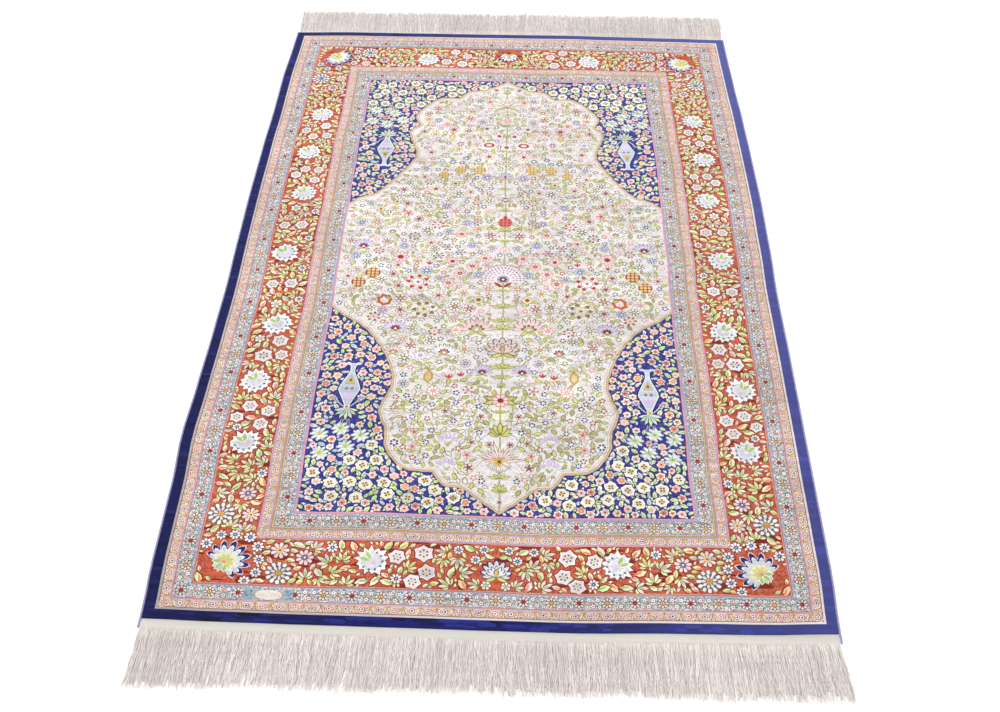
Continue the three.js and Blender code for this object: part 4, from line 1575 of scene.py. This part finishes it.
def fringe(name, side, node):
    """One end's fringe, as one mesh of many strands."""
    count = STRANDS + UNDER_LOCKS
    under = np.arange(count) >= STRANDS
    strands = np.linspace(-HALF_WIDTH + 1.5, HALF_WIDTH - 1.5, STRANDS) + luck.normal(0, 0.6, STRANDS)
    u = np.concatenate((strands, np.linspace(-HALF_WIDTH + 3, HALF_WIDTH - 3, UNDER_LOCKS)))
    roots = np.column_stack((u, np.full(count, side * (HALF_LENGTH + FLAT_WEAVE[side] - 1.5))))
    start = on_cloth(roots) * 1000
    tip = (FRINGE_TIPS[side] + luck.normal(0, 3.0, count) + 1.5 * np.sin(u / 47)
           + 1.5 * np.sin(u / 19) - 8 * under)
    t = np.linspace(0, 1, STRAND_POINTS)[None]
    clump = np.sin(u / 4.1 + 2 * np.sin(u / 23)) * 1.2
    sway = 3 * np.sin(u / 83 + 1) + 2 * np.sin(u / 31)
    lean_out = u / HALF_WIDTH * (6 if side < 0 else 4)
    stray = luck.normal(0, 5.2, count) * ~under
    wave = luck.normal(0, 1.4, (3, count, 1)) * ~under[:, None]
    crinkle = luck.normal(0, 1.7, (count, STRAND_POINTS)) * ~under[:, None]
    phase = luck.uniform(0, 6.3, (count, 1))
    x = (start[:, 0:1] + (lean_out + sway + clump + stray)[:, None] * t ** 1.2
         + (wave[0] * np.sin(t * 6 + phase) + crinkle) * np.minimum(1, t * 4))
    length = np.minimum(tip, LONGEST) - np.abs(start[:, 1])
    y = side * (np.abs(start[:, 1:2]) + length[:, None] * t)
    layer = luck.random((count, 1))
    lift = layer * 2.2 * np.minimum(1, 5 * t + 0.3)
    ripple = 0.5 * wave[2] * np.sin(t * 17 + phase)
    z = 0.5 + np.where(under[:, None], 0, lift + ripple)
    path = np.stack((x, y, np.clip(z, 0.45, 3.3)), 2)
    width = np.where(under, 2.6, 0.72)[:, None, None] * (1 - 0.3 * t ** 4)[:, :, None]
    angles = np.array([math.pi / 2, math.pi * 7 / 6, math.pi * 11 / 6])
    tall = np.where(under, 0.42, 0.55)[:, None, None] * (1 - 0.3 * t ** 4)[:, :, None]
    ring_x = path[:, :, 0:1] + width * np.cos(angles)
    ring_z = np.maximum(path[:, :, 2:3] + tall * np.sin(angles), 0.02)
    ring_y = np.repeat(path[:, :, 1:2], 3, 2)
    verts = np.stack((ring_x, ring_y, ring_z), 3).reshape(-1, 3) / 1000
    one = []
    for k in range(STRAND_POINTS - 1):
        for j in range(3):
            n = (j + 1) % 3
            quad = (k * 3 + j, k * 3 + 3 + j, k * 3 + 3 + n, k * 3 + n)
            one.append(quad if side > 0 else quad[::-1])
    last = STRAND_POINTS * 3
    caps = [(0, 1, 2), (last - 1, last - 2, last - 3)]
    caps = caps if side > 0 else [c[::-1] for c in caps]
    offsets = (np.arange(count) * last)[:, None, None]
    quads = (np.array(one)[None] + offsets).reshape(-1, 4)
    ends = (np.array(caps)[None] + offsets).reshape(-1, 3)
    piece = closed_piece(name, verts, quads.tolist() + ends.tolist())
    # Each strand's tone differs at random; the low wide locks are painted darker as painted shade under the
    # strands, and the far fringe is painted a little darker as painted shade.
    shade = np.where(under, 0.66, 0.8 + 0.3 * luck.random(count)) * (1 if side < 0 else 0.92)
    tone_and_shade = piece.data.attributes.new("tone_and_shade", "FLOAT", "POINT")
    tone_and_shade.data.foreach_set("value", np.repeat(shade, last))
    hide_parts(node)
    print(name, count, "strands", len(quads) * 2 + len(ends), "triangles")
    return piece


fringes = [fringe("silk_fringe_near", -1, "fringe_near"), fringe("silk_fringe_far", 1, "fringe_far")]

# %% [markdown]
# ## Silk
# Three effects make dyed silk look woven, and each is a small node group that several materials
# share. `knots` breaks the surface into single knots, each a shade lighter or darker, with a small
# bump. The second gives the streaks that a new batch of yarn leaves along a row, and slow clouds
# of painted sheen, lighter and darker patches where the pile lies another way. `flecks` scatters
# odd knots of dark and white over a busy ground. All read Object coordinates, so that they stay
# in place on the rug whatever the view.

# %% Shared effects


def effect(name, sockets):
    """An empty node group with named inputs and outputs, its object coordinates and its ends."""
    group = bpy.data.node_groups.new(name, "ShaderNodeTree")
    for socket, way, kind, value in sockets:
        made = group.interface.new_socket(name=socket, in_out=way, socket_type=kind)
        if value is not None:
            made.default_value = value
    ends = group.nodes.new("NodeGroupInput"), group.nodes.new("NodeGroupOutput")
    return group, *ends, group.nodes.new("ShaderNodeTexCoord").outputs["Object"]


def node(tree, kind, **settings):
    """A node with its settings."""
    made = tree.nodes.new(kind)
    for key, value in settings.items():
        setattr(made, key, value)
    return made


def feed(tree, target, *values):
    """Links or sets the first inputs of a node, and gives its first output."""
    for socket, value in zip(target.inputs, values):
        if isinstance(value, bpy.types.NodeSocket):
            tree.links.new(value, socket)
        elif value is not None:
            socket.default_value = value
    return target.outputs[0]


def maths(tree, operation, *values):
    """A sum of numbers or sockets."""
    return feed(tree, node(tree, "ShaderNodeMath", operation=operation), *values)


def vector(tree, operation, *values):
    """The same for vectors and colours."""
    return feed(tree, node(tree, "ShaderNodeVectorMath", operation=operation), *values)

# %% [markdown]
# ## Single knots
# A fine grid of cells, each with a random value, is one knot per cell. A sine across the cell
# rounds its top. An image could hold the same, but a grid stays sharp at any distance.

# %% Single knots


def knots_group():
    """Single knots: a value round 1 and a height."""
    tree, start, end, place = effect("knots", [
        ("Knot Size", "INPUT", "NodeSocketVector", (0.0009, 0.0009, 1)),
        ("Contrast", "INPUT", "NodeSocketFloat", 0.1),
        ("Shade", "OUTPUT", "NodeSocketFloat", None), ("Height", "OUTPUT", "NodeSocketFloat", None),
    ])
    grid = vector(tree, "DIVIDE", place, start.outputs["Knot Size"])
    cell = vector(tree, "FLOOR", grid)
    noise = node(tree, "ShaderNodeTexWhiteNoise", noise_dimensions="2D")
    tree.links.new(cell, noise.inputs["Vector"])
    centred = maths(tree, "SUBTRACT", noise.outputs["Value"], 0.5)
    shade = maths(tree, "MULTIPLY_ADD", centred, start.outputs["Contrast"], 1.0)
    within = node(tree, "ShaderNodeSeparateXYZ")
    tree.links.new(vector(tree, "FRACTION", grid), within.inputs[0])
    bumps = [maths(tree, "SINE", maths(tree, "MULTIPLY", within.outputs[k], math.pi)) for k in (0, 1)]
    tree.links.new(shade, end.inputs["Shade"])
    tree.links.new(maths(tree, "MULTIPLY", *bumps), end.inputs["Height"])
    return tree

# %% [markdown]
# ## Streaks, painted sheen and flecks
# Noise that is stretched across the rug gives the streaks, and slower noise gives clouds of
# painted sheen. For the flecks, random cells are compared with a limit, and those above it take
# another dye.

# %% Streaks, painted sheen and flecks


def abrash_and_sheen_group():
    """Streaks along the rows and slow clouds of painted sheen: a value round 1."""
    tree, start, end, place = effect("abrash_and_sheen", [
        ("Streaks", "INPUT", "NodeSocketFloat", 0.1), ("Clouds", "INPUT", "NodeSocketFloat", 0.1),
        ("Shade", "OUTPUT", "NodeSocketFloat", None),
    ])
    parts = []
    # The second noise gives slow clouds of painted sheen, lighter and darker patches where the pile lies
    # another way.
    for scale, detail, amount in (((2.2, 95, 1), 3, "Streaks"), ((5, 7, 1), 3, "Clouds")):
        noise = node(tree, "ShaderNodeTexNoise", noise_dimensions="2D")
        noise.inputs["Scale"].default_value = 1
        noise.inputs["Detail"].default_value = detail
        tree.links.new(vector(tree, "MULTIPLY", place, scale), noise.inputs["Vector"])
        spread = maths(tree, "MULTIPLY", maths(tree, "SUBTRACT", noise.outputs["Fac"], 0.5), 3.0)
        parts.append(maths(tree, "MULTIPLY", spread, start.outputs[amount]))
    tree.links.new(maths(tree, "ADD", maths(tree, "ADD", *parts), 1.0), end.inputs["Shade"])
    return tree


def flecks_group():
    """Odd light and dark knots over a busy ground."""
    tree, start, end, place = effect("flecks", [
        ("Colour", "INPUT", "NodeSocketColor", (1, 1, 1, 1)), ("Amount", "INPUT", "NodeSocketFloat", 0.5),
        ("Size", "INPUT", "NodeSocketFloat", 0.003), ("Colour", "OUTPUT", "NodeSocketColor", None),
    ])
    cells = node(tree, "ShaderNodeTexVoronoi", voronoi_dimensions="2D")
    tree.links.new(place, cells.inputs["Vector"])
    tree.links.new(maths(tree, "DIVIDE", 1.0, start.outputs["Size"]), cells.inputs["Scale"])
    lot = node(tree, "ShaderNodeSeparateColor")
    tree.links.new(cells.outputs["Color"], lot.inputs[0])
    colour = start.outputs["Colour"]
    odd_knots = ((0, 0.62, "white", 0.7), (1, 0.8, "dusty pink", 0.55), (2, 0.86, "vine", 0.6))
    for channel, limit, dye, strength in odd_knots:
        chosen = maths(tree, "GREATER_THAN", lot.outputs[channel], limit)
        factor = maths(tree, "MULTIPLY", maths(tree, "MULTIPLY", chosen, start.outputs["Amount"]), strength)
        mix = node(tree, "ShaderNodeMix", data_type="RGBA")
        tree.links.new(factor, mix.inputs["Factor"])
        tree.links.new(colour, mix.inputs["A"])
        mix.inputs["B"].default_value = (*linear(dye), 1)
        colour = mix.outputs["Result"]
    tree.links.new(colour, end.inputs["Colour"])
    return tree


knots, abrash_and_sheen, flecks = knots_group(), abrash_and_sheen_group(), flecks_group()
print("effects:", [group.name for group in (knots, abrash_and_sheen, flecks)])

# %% [markdown]
# ## The materials
# Each material starts from the same soft silk: little mirror shine and a faint sheen. Helpers place
# a shared effect, multiply shades, and turn a height into bump.

# %% Materials


def silk(name, sheen):
    """A silk material, its node tree and its shader."""
    material = bpy.data.materials.new(name)
    material.use_nodes = True
    shader = material.node_tree.nodes["Principled BSDF"]
    shader.inputs["Specular IOR Level"].default_value = 0.16
    shader.inputs["Sheen Weight"].default_value = sheen
    shader.inputs["Sheen Roughness"].default_value = 0.4
    return material, material.node_tree, shader


def placed(tree, group, **values):
    """A shared effect placed in a material, with its own values."""
    made = node(tree, "ShaderNodeGroup", node_tree=group)
    for key, value in values.items():
        made.inputs[key.replace("_", " ")].default_value = value
    return made


def shaded(tree, colour, *shades):
    """A colour multiplied by several values."""
    for shade in shades:
        colour = vector(tree, "MULTIPLY", colour, shade)
    return colour


def raised(tree, shader, height, distance):
    """Bump from a height, in metres."""
    bump = node(tree, "ShaderNodeBump")
    bump.inputs["Strength"].default_value = 1
    bump.inputs["Distance"].default_value = distance
    tree.links.new(height, bump.inputs["Height"])
    tree.links.new(bump.outputs["Normal"], shader.inputs["Normal"])


def rubbed(tree, shader, roughness, *shades):
    """Roughness that changes from knot to knot and along the streaks."""
    for shade in shades:
        roughness = maths(tree, "MULTIPLY", shade, roughness)
    tree.links.new(roughness, shader.inputs["Roughness"])

# %% [markdown]
# ## The dyed pile
# The pile takes its colour from the dye on the face corners, which on the blue edge also holds
# painted shade and painted sheen, with flecks where the fourth number asks for them. The same knots
# change the colour, the roughness and the bump, so the three agree, and the streaks and the slow
# clouds of painted sheen change the colour and the roughness.

# %% The dyed pile
pile_silk, tree, shader = silk("knotted_silk_pile", 0.04)
dye = node(tree, "ShaderNodeAttribute", attribute_name="dye")
knot = placed(tree, knots, Contrast=0.22)
# Streaks along the rows, and slow clouds of painted sheen.
streak_and_sheen = placed(tree, abrash_and_sheen, Streaks=0.16, Clouds=0.10)
fleck = placed(tree, flecks, Size=0.0028)
tree.links.new(dye.outputs["Color"], fleck.inputs["Colour"])
tree.links.new(dye.outputs["Alpha"], fleck.inputs["Amount"])
colour = shaded(tree, fleck.outputs["Colour"], knot.outputs["Shade"], streak_and_sheen.outputs["Shade"])
tree.links.new(colour, shader.inputs["Base Color"])
raised(tree, shader, knot.outputs["Height"], 0.00025)
rubbed(tree, shader, 0.62, knot.outputs["Shade"], streak_and_sheen.outputs["Shade"])
for piece in pile_pieces:
    piece.data.materials.append(pile_silk)

# %% [markdown]
# ## The undyed silks
# The flat weave, the wound thread and the fringe are undyed silk. They differ in the size and
# direction of their grain, so one function makes them from a table.

# %% Undyed silk


def undyed(name, dye, sheen, grain, contrast, streaks, clouds, depth, roughness, tone_and_shade=None):
    """Undyed silk with its own grain; the last argument names an attribute with each strand's tone and its
    painted shade.
    """
    material, tree, shader = silk(name, sheen)
    knot = placed(tree, knots, Knot_Size=(*grain, 1), Contrast=contrast)
    # Streaks along the rows, and slow clouds of painted sheen.
    streak_and_sheen = placed(tree, abrash_and_sheen, Streaks=streaks, Clouds=clouds)
    shades = [knot.outputs["Shade"], streak_and_sheen.outputs["Shade"]]
    rubbed(tree, shader, roughness, *shades)
    raised(tree, shader, knot.outputs["Height"], depth)
    if tone_and_shade:
        strand = node(tree, "ShaderNodeAttribute", attribute_name=tone_and_shade)
        shades.insert(0, strand.outputs["Fac"])
    colour = shaded(tree, tuple(linear(dye)), *shades)
    tree.links.new(colour, shader.inputs["Base Color"])
    return material


# In the table, clouds are slow clouds of painted sheen.
UNDYED = {  # name: dye, sheen, grain in metres, contrast, streaks, clouds, depth, roughness
    "flat_woven_silk": ("flat weave", 0.05, (0.0011, 0.0006), 0.12, 0.08, 0.04, 0.0003, 0.7),
    "wound_silk_thread": ("side thread", 0.1, (0.004, 0.0024), 0.3, 0.1, 0.1, 0.0002, 0.5),
    "fringe_silk_strands": ("warp ends", 0.05, (0.0007, 0.004), 0.14, 0.04, 0.06, 0.0002, 0.5, "tone_and_shade"),
}
flat_weave, wound_thread, fringe_silk = (undyed(name, *values) for name, values in UNDYED.items())
cloth.data.materials.append(flat_weave)
for piece in edges:
    piece.data.materials.append(wound_thread)
for piece in fringes:
    piece.data.materials.append(fringe_silk)
print("materials:", [m.name for m in (pile_silk, flat_weave, wound_thread, fringe_silk)])

# %% [markdown]
# ## Floor and light
# The photograph has a plain white ground and soft light from all round, a little stronger from
# beyond the far end, where the silk looks paler. A large floor, a white world and two wide lamps
# give that.

# %% Floor and light
bpy.ops.object.select_all(action="DESELECT")
bpy.ops.mesh.primitive_plane_add(size=14, location=(0, 1.5, -0.0003))
floor = bpy.context.object
floor.name = "studio_floor"
floor_paint = bpy.data.materials.new("studio_floor_paint")
floor_paint.use_nodes = True
floor_shader = floor_paint.node_tree.nodes["Principled BSDF"]
floor_shader.inputs["Base Color"].default_value = (1, 1, 1, 1)
floor_shader.inputs["Roughness"].default_value = 0.9
floor_shader.inputs["Emission Color"].default_value = (1, 1, 1, 1)
floor_shader.inputs["Emission Strength"].default_value = 0.16
floor.data.materials.append(floor_paint)
world = bpy.data.worlds.new("studio_air")
world.use_nodes = True
world.node_tree.nodes["Background"].inputs["Color"].default_value = (1, 1, 1, 1)
world.node_tree.nodes["Background"].inputs["Strength"].default_value = 0.92
scene.world = world
scene.view_settings.view_transform = "Standard"


def soft_lamp(name, place, target, size, power):
    """A square soft lamp that looks at a point."""
    data = bpy.data.lights.new(name, "AREA")
    data.size = size
    data.energy = power
    lamp = bpy.data.objects.new(name, data)
    scene.collection.objects.link(lamp)
    lamp.location = place
    lamp.rotation_euler = (Vector(target) - Vector(place)).to_track_quat("-Z", "Y").to_euler()
    return lamp


soft_lamp("key_lamp", (-1.6, 0.6, 2.8), (0, 0.1, 0), 1.8, 22)
soft_lamp("far_lamp", (0.3, 3.4, 2.2), (0, 0.5, 0), 2.2, 29)
print("floor, world and", len(bpy.data.lights), "lamps")
